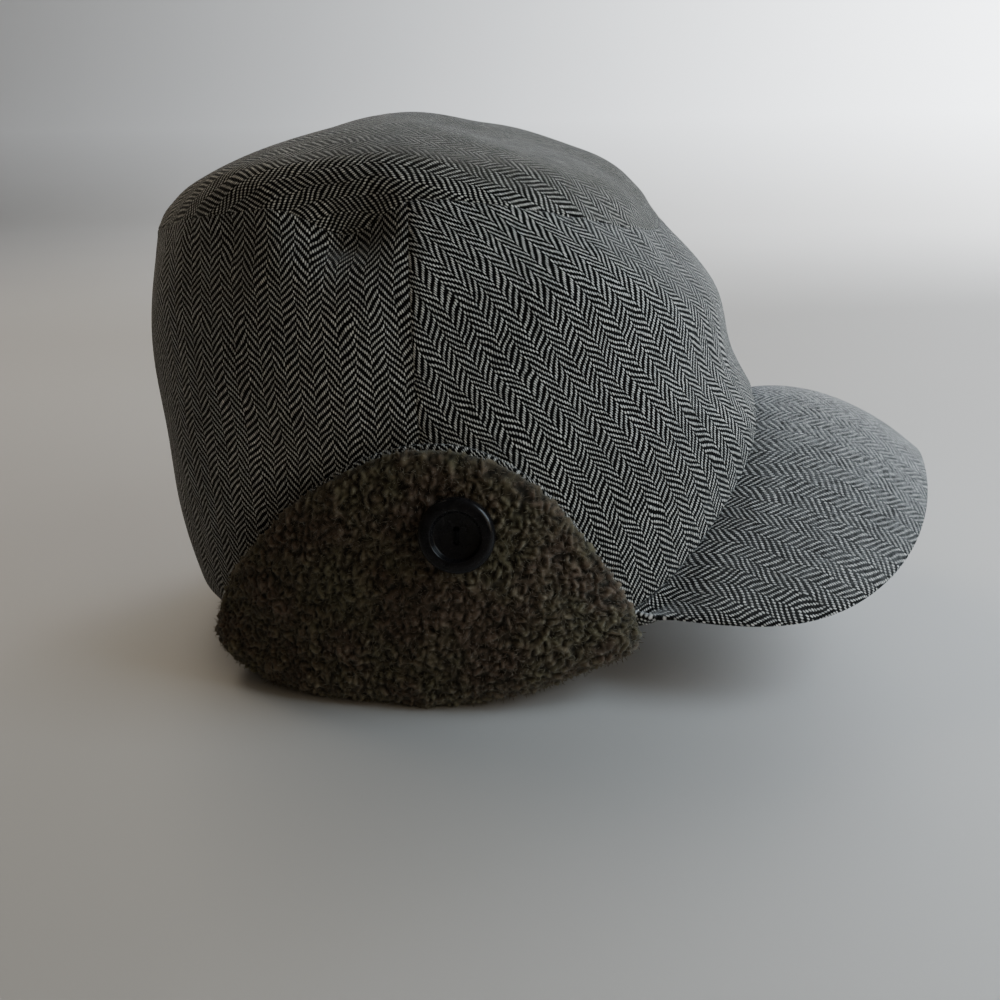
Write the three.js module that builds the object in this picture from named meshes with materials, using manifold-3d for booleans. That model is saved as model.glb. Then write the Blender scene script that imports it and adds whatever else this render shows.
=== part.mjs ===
// Earflap cap: a tweed crown of two walls and an oval tip, a curved peak, and two fleece lined
// earflaps that are folded up over the crown and held by a button each.
// Millimetres, +Z up, the peak points to +X, the wearer's right side is -Y.
// The cap rests on the folds of its flaps at Z = 0. Its sizes are given from the crown's middle,
// and at the end the whole cap is moved along X to the middle of its box.
import * as THREE from 'three';
import { mergeVertices } from 'three/addons/utils/BufferGeometryUtils.js';
import Module from 'manifold-3d';

const wasm = await Module();
wasm.setup();

// Driving sizes of the cloth
const clothWall = 1.8;
const seamGap = 0.3;
const peakThickness = 3.6;
const fleeceThickness = 5.4;
const facingThickness = 1.5;
const radian = Math.PI / 180;

// Level sections of the crown, from below the hem up to the middle of the tip.
// Each gives the front, back and side point of one ring; square is the ring's superellipse power.
const crownRings = [
  { frontX: 121, frontZ: 4.5, backX: -91, backZ: 4.5, sideX: 5, sideY: 78, sideZ: 4.5, square: 2.25 },
  { frontX: 120, frontZ: 39.5, backX: -98, backZ: 34.5, sideX: 5, sideY: 81.5, sideZ: 39.5, square: 2.25 },
  { frontX: 117.5, frontZ: 74.5, backX: -102.2, backZ: 69.5, sideX: 5.5, sideY: 81.5, sideZ: 77, square: 2.25 },
  { frontX: 105.5, frontZ: 98.5, backX: -102.6, backZ: 100, sideX: 5, sideY: 80.6, sideZ: 110.5, square: 2.25 },
  { frontX: 98.7, frontZ: 120, backX: -101.2, backZ: 123, sideX: 4.5, sideY: 76.7, sideZ: 137.5, square: 2.25 },
  { frontX: 79.4, frontZ: 142, backX: -97.2, backZ: 142.8, sideX: 4.4, sideY: 70.5, sideZ: 159.5, square: 2.2 },
  { frontX: 72.2, frontZ: 152.5, backX: -90, backZ: 152, sideX: -1.5, sideY: 68, sideZ: 167, square: 2.2 },
  { frontX: 59.6, frontZ: 161, backX: -77.5, backZ: 160, sideX: -6.5, sideY: 61, sideZ: 172.5, square: 2.2 },
  { frontX: 27, frontZ: 171.5, backX: -47.3, backZ: 171.5, sideX: -11.7, sideY: 34.3, sideZ: 178.8, square: 2.1 },
  { frontX: -14, frontZ: 180.7, backX: -14, backZ: 180.7, sideX: -14, sideY: 0, sideZ: 180.7, square: 2 },
];
const tipSeamLevel = 5;
const tipMiddleLevel = crownRings.length - 1;

// Soft hollows of the worn cloth: where they lie, how far they spread, how deep they go and how
// far they pull the cloth down. Angles run round the crown from the middle of the front.
const hollows = [
  { angle: -99, level: 4.9, spreadAngle: 8.5, spreadLevel: 0.6, depth: 4.2, drop: 10 },
  { angle: -121, level: 4.5, spreadAngle: 9, spreadLevel: 0.6, depth: 1.6, drop: 0.6 },
  { angle: 96, level: 4.7, spreadAngle: 10, spreadLevel: 0.55, depth: 2.6, drop: 3 },
  { angle: 128, level: 4.4, spreadAngle: 9, spreadLevel: 0.6, depth: 1.8, drop: 0.8 },
  { angle: 180, level: 4.2, spreadAngle: 12, spreadLevel: 0.7, depth: 1.6, drop: 0.5 },
];

// Lower edge of the crown: nearly level round the sides and back, arched up over the brow
const hem = { sideZ: 14.5, frontZ: 85.5, backRise: 5.5, quicken: 1.2 };
const sideSeamAngle = 86.5;

// Peak: its root follows the hem between the two corners, its free edge is a superellipse
const peak = {
  cornerAngle: 54.2, tipX: 172.8, tipZ: 62.8, halfWidth: 80.6, power: 2.95,
  arch: 1.69, crest: 7.5, shoulder: 1.44, rootGap: 0.8, rootShare: 0.1, edgeThinning: 0.55,
};

// Earflap folded up: where it starts and ends round the crown, and the arch of its free edge
const flap = {
  frontAngle: 54.4, backAngle: 129.5, archTopX: 17, archTopZ: 87, footFrontZ: 30, footBackZ: 23,
  archPowerFront: 2.35, archPowerBack: 1.9, foldBow: 8, footLean: 4.6, liningRise: 16,
  flatFrontX: 12, flatBackX: -42, foldFrontZ: 17.2, foldBackZ: 7.5, flattening: 1.3, endRound: 0.08,
};

// Button, its slot in the flap and the thread that holds it on the crown
const button = {
  angle: 80.5, centreZ: 63, radius: 11.75, thickness: 4.4, dishRadius: 7.2, dishDepth: 1.7,
  rimRound: 1.3, holeRadius: 0.95, holeSpacing: 4, tilt: 9, standOff: 1.9,
};
const slot = { width: 4.6, bottomZ: 47.8, topZ: 73.5, threadWall: 1.1, fit: 0.3, proud: 0.7 };
const threadRadius = 0.75;

// Cloth, fleece and button colours
const tweed = new THREE.MeshStandardMaterial({ color: 0x6d6c68, roughness: 0.95, metalness: 0 });
const fleece = new THREE.MeshStandardMaterial({ color: 0x4c4638, roughness: 1, metalness: 0 });
const horn = new THREE.MeshStandardMaterial({ color: 0x111012, roughness: 0.25, metalness: 0 });
const darkThread = new THREE.MeshStandardMaterial({ color: 0x1c1a18, roughness: 0.85, metalness: 0 });

// One column of the ring table at a level, by a uniform Catmull-Rom curve with reflected ends
function columnAt(name, level) {
  const last = crownRings.length - 1;
  const i = Math.min(Math.max(Math.floor(level), 0), last - 1);
  const f = level - i;
  const p1 = crownRings[i][name];
  const p2 = crownRings[i + 1][name];
  const p0 = i > 0 ? crownRings[i - 1][name] : 2 * p1 - p2;
  const p3 = i + 2 <= last ? crownRings[i + 2][name] : 2 * p2 - p1;
  return p1 + 0.5 * f * (p2 - p0 + f * (2 * p0 - 5 * p1 + 4 * p2 - p3 + f * (3 * (p1 - p2) + p3 - p0)));
}

// Smooth crown surface: angle 0 is the front, 90 the left side, level counts the rings
function smoothCrown(angle, level) {
  const c = Math.cos(angle * radian);
  const s = Math.sin(angle * radian);
  const power = columnAt('square', level);
  const reach = (Math.abs(c) ** power + Math.abs(s) ** power) ** (-1 / power);
  const sideX = columnAt('sideX', level);
  const sideZ = columnAt('sideZ', level);
  const endX = columnAt(c > 0 ? 'frontX' : 'backX', level);
  const endZ = columnAt(c > 0 ? 'frontZ' : 'backZ', level);
  return new THREE.Vector3(
    sideX + Math.abs(endX - sideX) * c * reach,
    columnAt('sideY', level) * s * reach,
    sideZ + (endZ - sideZ) * c * c,
  );
}

// Outward normal of the smooth crown; the middle of the tip looks straight up
function crownNormal(angle, level) {
  const step = 0.01;
  if (level > tipMiddleLevel - 2 * step) return new THREE.Vector3(0, 0, 1);
  const across = smoothCrown(angle + step, level).sub(smoothCrown(angle - step, level));
  const lower = Math.max(level - step, 0);
  const along = smoothCrown(angle, level + step).sub(smoothCrown(angle, lower));
  return across.cross(along).normalize();
}

// Crown surface with its hollows, moved inwards by depth
function crownPoint(angle, level, depth = 0) {
  const point = smoothCrown(angle, level);
  let inwards = depth;
  for (const hollow of hollows) {
    const turn = ((angle - hollow.angle + 540) % 360) - 180;
    const a = turn / hollow.spreadAngle;
    const b = (level - hollow.level) / hollow.spreadLevel;
    const weight = Math.exp(-(a * a + b * b));
    inwards += hollow.depth * weight;
    point.z -= hollow.drop * weight;
  }
  return point.addScaledVector(crownNormal(angle, level), -inwards);
}

// Height of the crown's lower edge round the head
function hemZ(angle) {
  const a = Math.abs(angle);
  const front = Math.cos(Math.min(hem.quicken * a, 90) * radian) ** 2;
  const back = Math.max(-Math.cos(a * radian), 0) ** 2;
  return hem.sideZ + (hem.frontZ - hem.sideZ) * front + hem.backRise * back;
}

// Level at which the crown's wall reaches a height
function levelAtZ(angle, z) {
  let low = 0;
  let high = tipSeamLevel;
  for (let i = 0; i < 30; i += 1) {
    const middle = (low + high) / 2;
    if (smoothCrown(angle, middle).z < z) low = middle;
    else high = middle;
  }
  return (low + high) / 2;
}

// Point beside the crown's wall: out is measured along the level normal of the wall
function besideWall(angle, z, out) {
  const level = levelAtZ(angle, Math.max(z, hem.sideZ));
  const point = smoothCrown(angle, level);
  const normal = crownNormal(angle, level).setZ(0).normalize();
  return point.addScaledVector(normal, out).setZ(z);
}

// Closed mesh from a list of triangles' corners: shared corners merged, faces turned outwards
function closedGeometry(corners) {
  const loose = new THREE.BufferGeometry();
  loose.setAttribute('position', new THREE.Float32BufferAttribute(corners, 3));
  const merged = mergeVertices(loose, 1e-4);
  const position = merged.getAttribute('position');
  const index = merged.getIndex().array;
  const kept = [];
  let volume = 0;
  const [a, b, c] = [new THREE.Vector3(), new THREE.Vector3(), new THREE.Vector3()];
  for (let i = 0; i < index.length; i += 3) {
    const [i0, i1, i2] = [index[i], index[i + 1], index[i + 2]];
    if (i0 === i1 || i1 === i2 || i2 === i0) continue;
    a.fromBufferAttribute(position, i0);
    b.fromBufferAttribute(position, i1);
    c.fromBufferAttribute(position, i2);
    volume += a.dot(b.clone().cross(c));
    kept.push(i0, i1, i2);
  }
  if (volume < 0) kept.reverse();
  merged.setIndex(kept);
  return merged;
}

// Two triangles between four corners
function addQuad(corners, a, b, c, d) {
  for (const p of [a, b, c, a, c, d]) corners.push(p.x, p.y, p.z);
}

// Sheet with thickness over a grid: face(u, v, side) gives its outer side (1) and inner side (-1).
// A ring runs all the way round in u and may close to a point at its last row.
function sheetGeometry(columns, rows, face, isRing = false) {
  const sides = [1, -1].map((side) => {
    const grid = [];
    for (let i = 0; i <= columns; i += 1) {
      const column = isRing ? i % columns : i;
      const line = [];
      for (let j = 0; j <= rows; j += 1) line.push(face(column / columns, j / rows, side));
      grid.push(line);
    }
    return grid;
  });
  const [outer, inner] = sides;
  const corners = [];
  for (let i = 0; i < columns; i += 1) {
    for (let j = 0; j < rows; j += 1) {
      addQuad(corners, outer[i][j], outer[i + 1][j], outer[i + 1][j + 1], outer[i][j + 1]);
      addQuad(corners, inner[i][j], inner[i][j + 1], inner[i + 1][j + 1], inner[i + 1][j]);
    }
    addQuad(corners, inner[i][0], inner[i + 1][0], outer[i + 1][0], outer[i][0]);
    if (!isRing) addQuad(corners, outer[i][rows], outer[i + 1][rows], inner[i + 1][rows], inner[i][rows]);
  }
  if (!isRing) {
    for (let j = 0; j < rows; j += 1) {
      addQuad(corners, outer[0][j], outer[0][j + 1], inner[0][j + 1], inner[0][j]);
      addQuad(corners, inner[columns][j], inner[columns][j + 1], outer[columns][j + 1], outer[columns][j]);
    }
  }
  return closedGeometry(corners);
}

// Joins and cuts of closed meshes
function toSolid(geometry) {
  const bare = new THREE.BufferGeometry();
  bare.setAttribute('position', geometry.getAttribute('position').clone());
  bare.setIndex(geometry.getIndex());
  const merged = mergeVertices(bare, 1e-4);
  return new wasm.Manifold(new wasm.Mesh({
    numProp: 3,
    vertProperties: new Float32Array(merged.getAttribute('position').array),
    triVerts: new Uint32Array(merged.getIndex().array),
  }));
}

function cutGeometry(geometry, tools) {
  let solid = toSolid(geometry);
  for (const tool of tools) solid = solid.subtract(toSolid(tool));
  const mesh = solid.getMesh();
  const result = new THREE.BufferGeometry();
  result.setAttribute('position', new THREE.BufferAttribute(mesh.vertProperties, 3));
  result.setIndex(new THREE.BufferAttribute(mesh.triVerts, 1));
  return result;
}

function meshOf(name, geometry, material) {
  const mesh = new THREE.Mesh(geometry, material);
  mesh.name = name;
  return mesh;
}

// The two walls of the crown between the side seams, with their columns in degrees round the head.
// The tip takes the same columns, so that the pieces keep an even gap along their seam.
const seamLevelHalf = 0.011;
const seamAngleHalf = 0.11;
const frontColumns = columnAngles(-sideSeamAngle, sideSeamAngle, 26);
const backColumns = columnAngles(sideSeamAngle, 360 - sideSeamAngle, 30);

function columnAngles(fromAngle, toAngle, count) {
  const from = fromAngle + seamAngleHalf;
  const to = toAngle - seamAngleHalf;
  return Array.from({ length: count + 1 }, (_, i) => from + (to - from) * i / count);
}

// Oval tip of the crown, from just above its seam to the middle
function crownTop() {
  const start = tipSeamLevel + seamLevelHalf;
  const angles = [...frontColumns, ...backColumns];
  const geometry = sheetGeometry(angles.length, 5, (u, v, side) => {
    const level = start + (tipMiddleLevel - start) * v;
    const angle = v === 1 ? 0 : angles[Math.round(u * angles.length)];
    return crownPoint(angle, level, side > 0 ? 0 : clothWall);
  }, true);
  return meshOf('crown_top', geometry, tweed);
}

// Wall panel from the hem to the tip's seam
function crownWall(name, angles) {
  const end = tipSeamLevel - seamLevelHalf;
  const columns = angles.length - 1;
  const geometry = sheetGeometry(columns, 9, (u, v, side) => {
    const angle = angles[Math.round(u * columns)];
    const start = levelAtZ(angle, hemZ(angle));
    return crownPoint(angle, start + (end - start) * v, side > 0 ? 0 : clothWall);
  });
  return meshOf(name, geometry, tweed);
}

// Point on the crown's wall carried on below its edge, where the root of the peak is sewn on
function peakRoot(angle, depth) {
  const level = levelAtZ(angle, hemZ(angle) - peak.rootGap);
  return crownPoint(angle, level, depth);
}

// Upper side of the peak: u from -1 to 1 between the corners, v from the root to the free edge.
// The first strip lies under the crown's edge; from there straight lines run to the free edge,
// and the crest lifts their middle.
function peakPoint(u, v) {
  const angle = u * peak.cornerAngle;
  const root = peakRoot(angle, 0);
  if (v < peak.rootShare) return peakRoot(angle, clothWall).lerp(root, v / peak.rootShare);
  const corner = peakRoot(peak.cornerAngle, 0);
  const turn = u * Math.PI / 2;
  const c = Math.cos(turn);
  const s = Math.sin(turn);
  const reach = (Math.abs(c) ** peak.power + Math.abs(s) ** peak.power) ** (-1 / peak.power);
  const swell = Math.sin(Math.min(c * peak.shoulder, 1) * Math.PI / 2);
  const y = (corner.y + (peak.halfWidth - corner.y) * swell) * s * reach;
  const edge = new THREE.Vector3(
    corner.x + (peak.tipX - corner.x) * c * reach,
    y,
    peak.tipZ + (corner.z - peak.tipZ) * Math.min(Math.abs(y) / peak.halfWidth, 1) ** peak.arch,
  );
  const w = (v - peak.rootShare) / (1 - peak.rootShare);
  const point = root.lerp(edge, w);
  point.z += peak.crest * 4 * w * (1 - w) * c;
  return point;
}

// The peak has the thickness of its board and two cloths, thinner at the free edge
function peakSolid() {
  const edgeKeep = 0.985;
  const rows = Math.round(1 / peak.rootShare);
  const geometry = sheetGeometry(26, rows, (u, v, side) => {
    const across = (2 * u - 1) * edgeKeep;
    const point = peakPoint(across, v);
    if (side > 0) return point;
    const step = 0.01;
    const alongU = peakPoint(across + step, v).sub(peakPoint(across - step, v));
    const alongV = peakPoint(across, Math.min(v + step, 1)).sub(peakPoint(across, Math.max(v - step, 0)));
    const normal = alongV.cross(alongU).normalize();
    const thickness = v === 1 ? peakThickness * peak.edgeThinning : peakThickness;
    return point.addScaledVector(normal, normal.z > 0 ? -thickness : thickness);
  });
  return meshOf('peak', geometry, tweed);
}

// Places along the flap are told by their X, measured beside the wall at this height and distance
const flapGauge = { z: 40, out: 8 };
const flapX = (angle) => besideWall(angle, flapGauge.z, flapGauge.out).x;
const flapFrontX = flapX(flap.frontAngle);
const flapBackX = flapX(flap.backAngle);

// Lowest height of the fold along the flap: flat where the cap rests, rising to both ends
function foldZ(x) {
  const ahead = Math.max(x - flap.flatFrontX, 0) / (flapFrontX - flap.flatFrontX);
  const behind = Math.max(flap.flatBackX - x, 0) / (flap.flatBackX - flapBackX);
  return -flap.flattening + flap.foldFrontZ * ahead ** 1.5 + flap.foldBackZ * behind ** 1.5;
}

// Height of the flap's free edge along the flap
function archZ(x) {
  const isFront = x > flap.archTopX;
  const share = (x - flap.archTopX) / ((isFront ? flapFrontX : flapBackX) - flap.archTopX);
  const foot = isFront ? flap.footFrontZ : flap.footBackZ;
  const power = isFront ? flap.archPowerFront : flap.archPowerBack;
  return foot + (flap.archTopZ - foot) * (1 - Math.min(Math.max(share, 0), 1) ** power);
}

// Middle line of the fleece across the flap, in steps out from the wall and up: down the lining
// inside the hem, round the fold, and up the outside to the free edge
function flapPath(angle, s) {
  const x = flapX(angle);
  const bottom = foldZ(x) + fleeceThickness / 2;
  const insideOut = -(clothWall + seamGap + fleeceThickness / 2 + 0.2);
  const topOut = facingThickness + 2 * seamGap + fleeceThickness / 2 + 0.2;
  const footOut = topOut + flap.footLean;
  const middleOut = (insideOut + footOut) / 2;
  const halfOut = (footOut - insideOut) / 2;
  const foldTop = bottom + flap.foldBow;
  const liningTop = hemZ(angle) + flap.liningRise;
  const edge = Math.max(archZ(x), foldTop + 4);
  const legEnd = 0.16;
  const foldEnd = 0.5;
  if (s < legEnd) {
    return { out: insideOut, z: liningTop + (foldTop - liningTop) * s / legEnd };
  }
  if (s < foldEnd) {
    const turn = Math.PI * (s - legEnd) / (foldEnd - legEnd);
    return { out: middleOut - halfOut * Math.cos(turn), z: foldTop - flap.foldBow * Math.sin(turn) };
  }
  const rise = (s - foldEnd) / (1 - foldEnd);
  return { out: footOut + (topOut - footOut) * rise ** 0.8, z: foldTop + (edge - foldTop) * rise };
}

// Point on one side of a layer that follows the flap's path, shifted out by offset
function flapPoint(angle, s, side, offset) {
  const step = 0.004;
  const here = flapPath(angle, s);
  const before = flapPath(angle, Math.max(s - step, 0));
  const after = flapPath(angle, Math.min(s + step, 1));
  const alongOut = after.out - before.out;
  const alongZ = after.z - before.z;
  const length = Math.hypot(alongOut, alongZ);
  const out = here.out + offset * alongZ / length;
  const z = here.z - offset * alongOut / length;
  return besideWall(side * angle, z, out).setZ(Math.max(z, 0));
}

// Edges of the fleece are round: the layer thins towards them
function edgeFade(t, round) {
  const past = Math.max(Math.abs(2 * t - 1) - (1 - round), 0) / round;
  return Math.sqrt(Math.max(1 - past * past, 0.04));
}

function flapFleece(name, side, cutter) {
  const geometry = sheetGeometry(24, 18, (u, v, face) => {
    const angle = flap.backAngle + (flap.frontAngle - flap.backAngle) * u;
    const half = fleeceThickness / 2 * edgeFade(u, flap.endRound) * edgeFade(v, 0.07);
    return flapPoint(angle, v, side, face * half);
  });
  return meshOf(name, cutGeometry(geometry, [cutter]), fleece);
}

// Tweed side of the flap, against the crown; its edge shows above the fleece
function flapCloth(name, side, cutter) {
  const inset = fleeceThickness / 2 + seamGap + facingThickness / 2;
  const margin = 2.2;
  const start = 0.56;
  const geometry = sheetGeometry(22, 5, (u, v, face) => {
    const angle = flap.backAngle - margin + (flap.frontAngle + 2 * margin - flap.backAngle) * u;
    const s = start + (1 - start) * v;
    const point = flapPoint(angle, s, side, -inset + face * facingThickness / 2);
    point.z += v === 1 ? 0.9 : 0;
    return point;
  });
  return meshOf(name, cutGeometry(geometry, [cutter]), tweed);
}

// Frame of the button on one side: seat on the flap, outward axis and upward axis
function buttonFrame(side) {
  const angle = side * button.angle;
  const level = levelAtZ(angle, button.centreZ);
  const normal = crownNormal(angle, level).setZ(0).normalize();
  const seat = besideWall(angle, button.centreZ, 0);
  return { seat, normal };
}

// Matrix whose x axis runs along the wall, y axis up and z axis out of the flap
function outwardMatrix(side, out, z, tilt) {
  const { seat, normal } = buttonFrame(side);
  const up = new THREE.Vector3(0, 0, 1);
  const along = up.clone().cross(normal).normalize();
  const matrix = new THREE.Matrix4().makeBasis(along, up, normal);
  const origin = seat.clone().addScaledVector(normal, out).setZ(z);
  const lean = new THREE.Matrix4().makeRotationX(-tilt * radian);
  return matrix.multiply(lean).setPosition(origin);
}

// Stadium shaped outline for the slot and its binding
function slotShape(width, height) {
  const radius = width / 2;
  const reach = height / 2 - radius;
  const shape = new THREE.Shape();
  shape.absarc(0, reach, radius, 0, Math.PI, false);
  shape.absarc(0, -reach, radius, Math.PI, 2 * Math.PI, false);
  shape.closePath();
  return shape;
}

function slotExtrusion(width, height, depth, holeWidth, holeHeight) {
  const shape = slotShape(width, height);
  if (holeWidth > 0) shape.holes.push(new THREE.Path(slotShape(holeWidth, holeHeight).getPoints(5)));
  const geometry = new THREE.ExtrudeGeometry(shape, { depth, bevelEnabled: false, curveSegments: 5 });
  geometry.deleteAttribute('normal');
  geometry.deleteAttribute('uv');
  return mergeVertices(geometry, 1e-4);
}

function slotCutter(side) {
  const height = slot.topZ - slot.bottomZ;
  const geometry = slotExtrusion(slot.width, height, 30, 0, 0);
  return geometry.applyMatrix4(outwardMatrix(side, -0.5, (slot.topZ + slot.bottomZ) / 2, 0));
}

// Thread binding that lines the slot through both layers of the flap
function buttonhole(name, side) {
  const height = slot.topZ - slot.bottomZ - 2 * slot.fit;
  const width = slot.width - 2 * slot.fit;
  const opening = width - 2 * slot.threadWall;
  const depth = facingThickness + seamGap + fleeceThickness + slot.proud;
  const geometry = slotExtrusion(width, height, depth, opening, height - 2 * slot.threadWall);
  geometry.applyMatrix4(outwardMatrix(side, 1.4, (slot.topZ + slot.bottomZ) / 2, 0));
  return meshOf(name, geometry, darkThread);
}

// Distance from the wall to the fleece's outer side at the button
function fleeceFaceOut() {
  const topOut = facingThickness + 2 * seamGap + fleeceThickness + 0.2;
  return topOut + flap.footLean * 0.35;
}

// Round button: flat back, rounded rim and a dish with two holes
function buttonDisc(name, side) {
  const t = button.thickness;
  const r = button.radius;
  const e = button.rimRound;
  const profile = [
    new THREE.Vector2(0, 0),
    new THREE.Vector2(r - e, 0),
    new THREE.Vector2(r - 0.3 * e, 0.3 * e),
    new THREE.Vector2(r, e),
    new THREE.Vector2(r, t - e),
    new THREE.Vector2(r - 0.3 * e, t - 0.3 * e),
    new THREE.Vector2(r - e, t),
    new THREE.Vector2(button.dishRadius + 0.9, t - 0.25),
    new THREE.Vector2(button.dishRadius, t - button.dishDepth),
    new THREE.Vector2(0, t - button.dishDepth - 0.2),
  ];
  const lathe = new THREE.LatheGeometry(profile, 28);
  lathe.deleteAttribute('normal');
  lathe.deleteAttribute('uv');
  const corners = [];
  const position = lathe.getAttribute('position');
  for (const i of lathe.getIndex().array) corners.push(position.getX(i), position.getY(i), position.getZ(i));
  const disc = closedGeometry(corners);
  const holes = [1, -1].map((end) => {
    const hole = new THREE.CylinderGeometry(button.holeRadius, button.holeRadius, 4 * t, 10);
    hole.deleteAttribute('normal');
    hole.deleteAttribute('uv');
    return mergeVertices(hole.translate(0, 0, end * button.holeSpacing / 2), 1e-4);
  });
  const geometry = cutGeometry(disc, holes);
  geometry.applyMatrix4(new THREE.Matrix4().makeRotationX(Math.PI / 2));
  geometry.applyMatrix4(outwardMatrix(side, fleeceFaceOut() + button.standOff, button.centreZ, button.tilt));
  return meshOf(name, geometry, horn);
}

// Thread shank from the crown to the back of the button, through the slot
function buttonThread(name, side) {
  const from = seamGap;
  const to = fleeceFaceOut() + button.standOff - seamGap;
  const geometry = new THREE.CylinderGeometry(threadRadius, threadRadius, to - from, 10);
  geometry.applyMatrix4(new THREE.Matrix4().makeRotationX(Math.PI / 2));
  geometry.applyMatrix4(outwardMatrix(side, (from + to) / 2, button.centreZ, 0));
  return meshOf(name, geometry, darkThread);
}

const cap = new THREE.Group();
cap.add(crownTop());
cap.add(crownWall('crown_front', frontColumns));
cap.add(crownWall('crown_back', backColumns));
cap.add(peakSolid());
for (const [word, side] of [['right', -1], ['left', 1]]) {
  cap.add(flapFleece(`flap_fleece_${word}`, side, slotCutter(side)));
  cap.add(flapCloth(`flap_cloth_${word}`, side, slotCutter(side)));
  cap.add(buttonhole(`buttonhole_${word}`, side));
  cap.add(buttonDisc(`button_${word}`, side));
  cap.add(buttonThread(`button_thread_${word}`, side));
}

// The origin is the middle of the cap's box, on the surface that it rests on
const box = new THREE.Box3().setFromObject(cap);
cap.position.x = -(box.min.x + box.max.x) / 2;

export default cap;
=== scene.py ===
import math
import bpy
import numpy as np
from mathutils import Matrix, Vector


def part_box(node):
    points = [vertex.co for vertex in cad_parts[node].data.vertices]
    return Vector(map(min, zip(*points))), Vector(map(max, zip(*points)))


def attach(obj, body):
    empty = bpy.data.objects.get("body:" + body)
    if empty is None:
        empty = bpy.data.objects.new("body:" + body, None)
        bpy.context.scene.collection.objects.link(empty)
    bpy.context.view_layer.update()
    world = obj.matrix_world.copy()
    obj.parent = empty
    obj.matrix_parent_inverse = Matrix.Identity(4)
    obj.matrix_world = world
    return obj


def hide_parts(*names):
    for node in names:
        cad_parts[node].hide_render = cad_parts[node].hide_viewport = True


# Earflap cap: finer surfaces of tweed and fleece, and the buttons, in the places of the CAD nodes

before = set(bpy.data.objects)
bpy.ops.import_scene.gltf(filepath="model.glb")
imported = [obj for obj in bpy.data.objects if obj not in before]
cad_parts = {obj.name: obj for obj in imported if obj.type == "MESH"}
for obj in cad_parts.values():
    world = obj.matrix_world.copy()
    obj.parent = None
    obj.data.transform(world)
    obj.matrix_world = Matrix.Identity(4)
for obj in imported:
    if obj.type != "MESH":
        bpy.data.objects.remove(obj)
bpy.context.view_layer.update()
scene = bpy.context.scene
print("frame loaded,", len(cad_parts), "nodes")

# Shapes are worked out in millimetres from the middle of the crown, +X to the peak, and moved
# along X into the frame at the end. The tip of the peak tells how far.
peakTipX = 172.8
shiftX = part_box("peak")[1].x * 1000 - peakTipX

# The crown's surface: ten rings from the hem up to the middle of the top, each given by its front,
# back and side point and the power of its superellipse

crown = {
    "wall": 1.8,
    "frontX": [121, 120, 117.5, 105.5, 98.7, 79.4, 72.2, 59.6, 27, -14],
    "frontZ": [4.5, 39.5, 74.5, 98.5, 120, 142, 152.5, 161, 171.5, 180.7],
    "backX": [-91, -98, -102.2, -102.6, -101.2, -97.2, -90, -77.5, -47.3, -14],
    "backZ": [4.5, 34.5, 69.5, 100, 123, 142.8, 152, 160, 171.5, 180.7],
    "sideX": [5, 5, 5.5, 5, 4.5, 4.4, -1.5, -6.5, -11.7, -14],
    "sideY": [78, 81.5, 81.5, 80.6, 76.7, 70.5, 68, 61, 34.3, 0],
    "sideZ": [4.5, 39.5, 77, 110.5, 137.5, 159.5, 167, 172.5, 178.8, 180.7],
    "square": [2.25, 2.25, 2.25, 2.25, 2.25, 2.2, 2.2, 2.2, 2.1, 2],
    "seamLevel": 5,
    "topLevel": 9,
    "topGap": 0.03,
    "sideSeamAngle": 86.5,
}
# Hollows of the worn cloth: angle, level, spread in angle and level, depth, pull downwards
hollows = [
    (-99, 4.9, 8.5, 0.6, 4.2, 10),
    (-121, 4.5, 9, 0.6, 1.6, 0.6),
    (96, 4.7, 10, 0.55, 2.6, 3),
    (128, 4.4, 9, 0.6, 1.8, 0.8),
    (180, 4.2, 12, 0.7, 1.6, 0.5),
]
hem = {"sideZ": 14.5, "frontZ": 85.5, "backRise": 5.5, "quicken": 1.2}


# One column of the ring table at any level, by a Catmull-Rom curve with reflected ends
def ringColumn(name, level):
    row = np.array(crown[name], float)
    padded = np.concatenate([[2 * row[0] - row[1]], row, [2 * row[-1] - row[-2]]])
    i = np.clip(np.floor(level), 0, len(row) - 2).astype(int)
    f = level - i
    p0, p1, p2, p3 = (padded[i + k] for k in range(4))
    bend = 2 * p0 - 5 * p1 + 4 * p2 - p3 + f * (3 * (p1 - p2) + p3 - p0)
    return p1 + 0.5 * f * (p2 - p0 + f * bend)


# Each ring is a superellipse through its front, back and side point, and its height goes from
# the side's to the end's with the square of the cosine
def smoothCrown(angle, level):
    c, s = np.cos(np.radians(angle)), np.sin(np.radians(angle))
    power = ringColumn("square", level)
    reach = (np.abs(c) ** power + np.abs(s) ** power) ** (-1 / power)
    sideX, sideZ = ringColumn("sideX", level), ringColumn("sideZ", level)
    endX = np.where(c > 0, ringColumn("frontX", level), ringColumn("backX", level))
    endZ = np.where(c > 0, ringColumn("frontZ", level), ringColumn("backZ", level))
    x = sideX + np.abs(endX - sideX) * c * reach
    y = ringColumn("sideY", level) * s * reach
    return np.stack([x, y, sideZ + (endZ - sideZ) * c * c], -1)


def unit(v):
    return v / np.maximum(np.linalg.norm(v, axis=-1, keepdims=True), 1e-9)


# Sum of products along the last axis
def dot(a, b, keep=False):
    return np.sum(a * b, -1, keepdims=keep)


# Length walked along one axis of a line or a grid of points, from 0
def lengthsAlong(points, axis=0):
    steps = np.linalg.norm(np.diff(points, axis=axis), axis=-1)
    return np.concatenate([np.zeros_like(np.take(steps, [0], axis)), np.cumsum(steps, axis)], axis)


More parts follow.
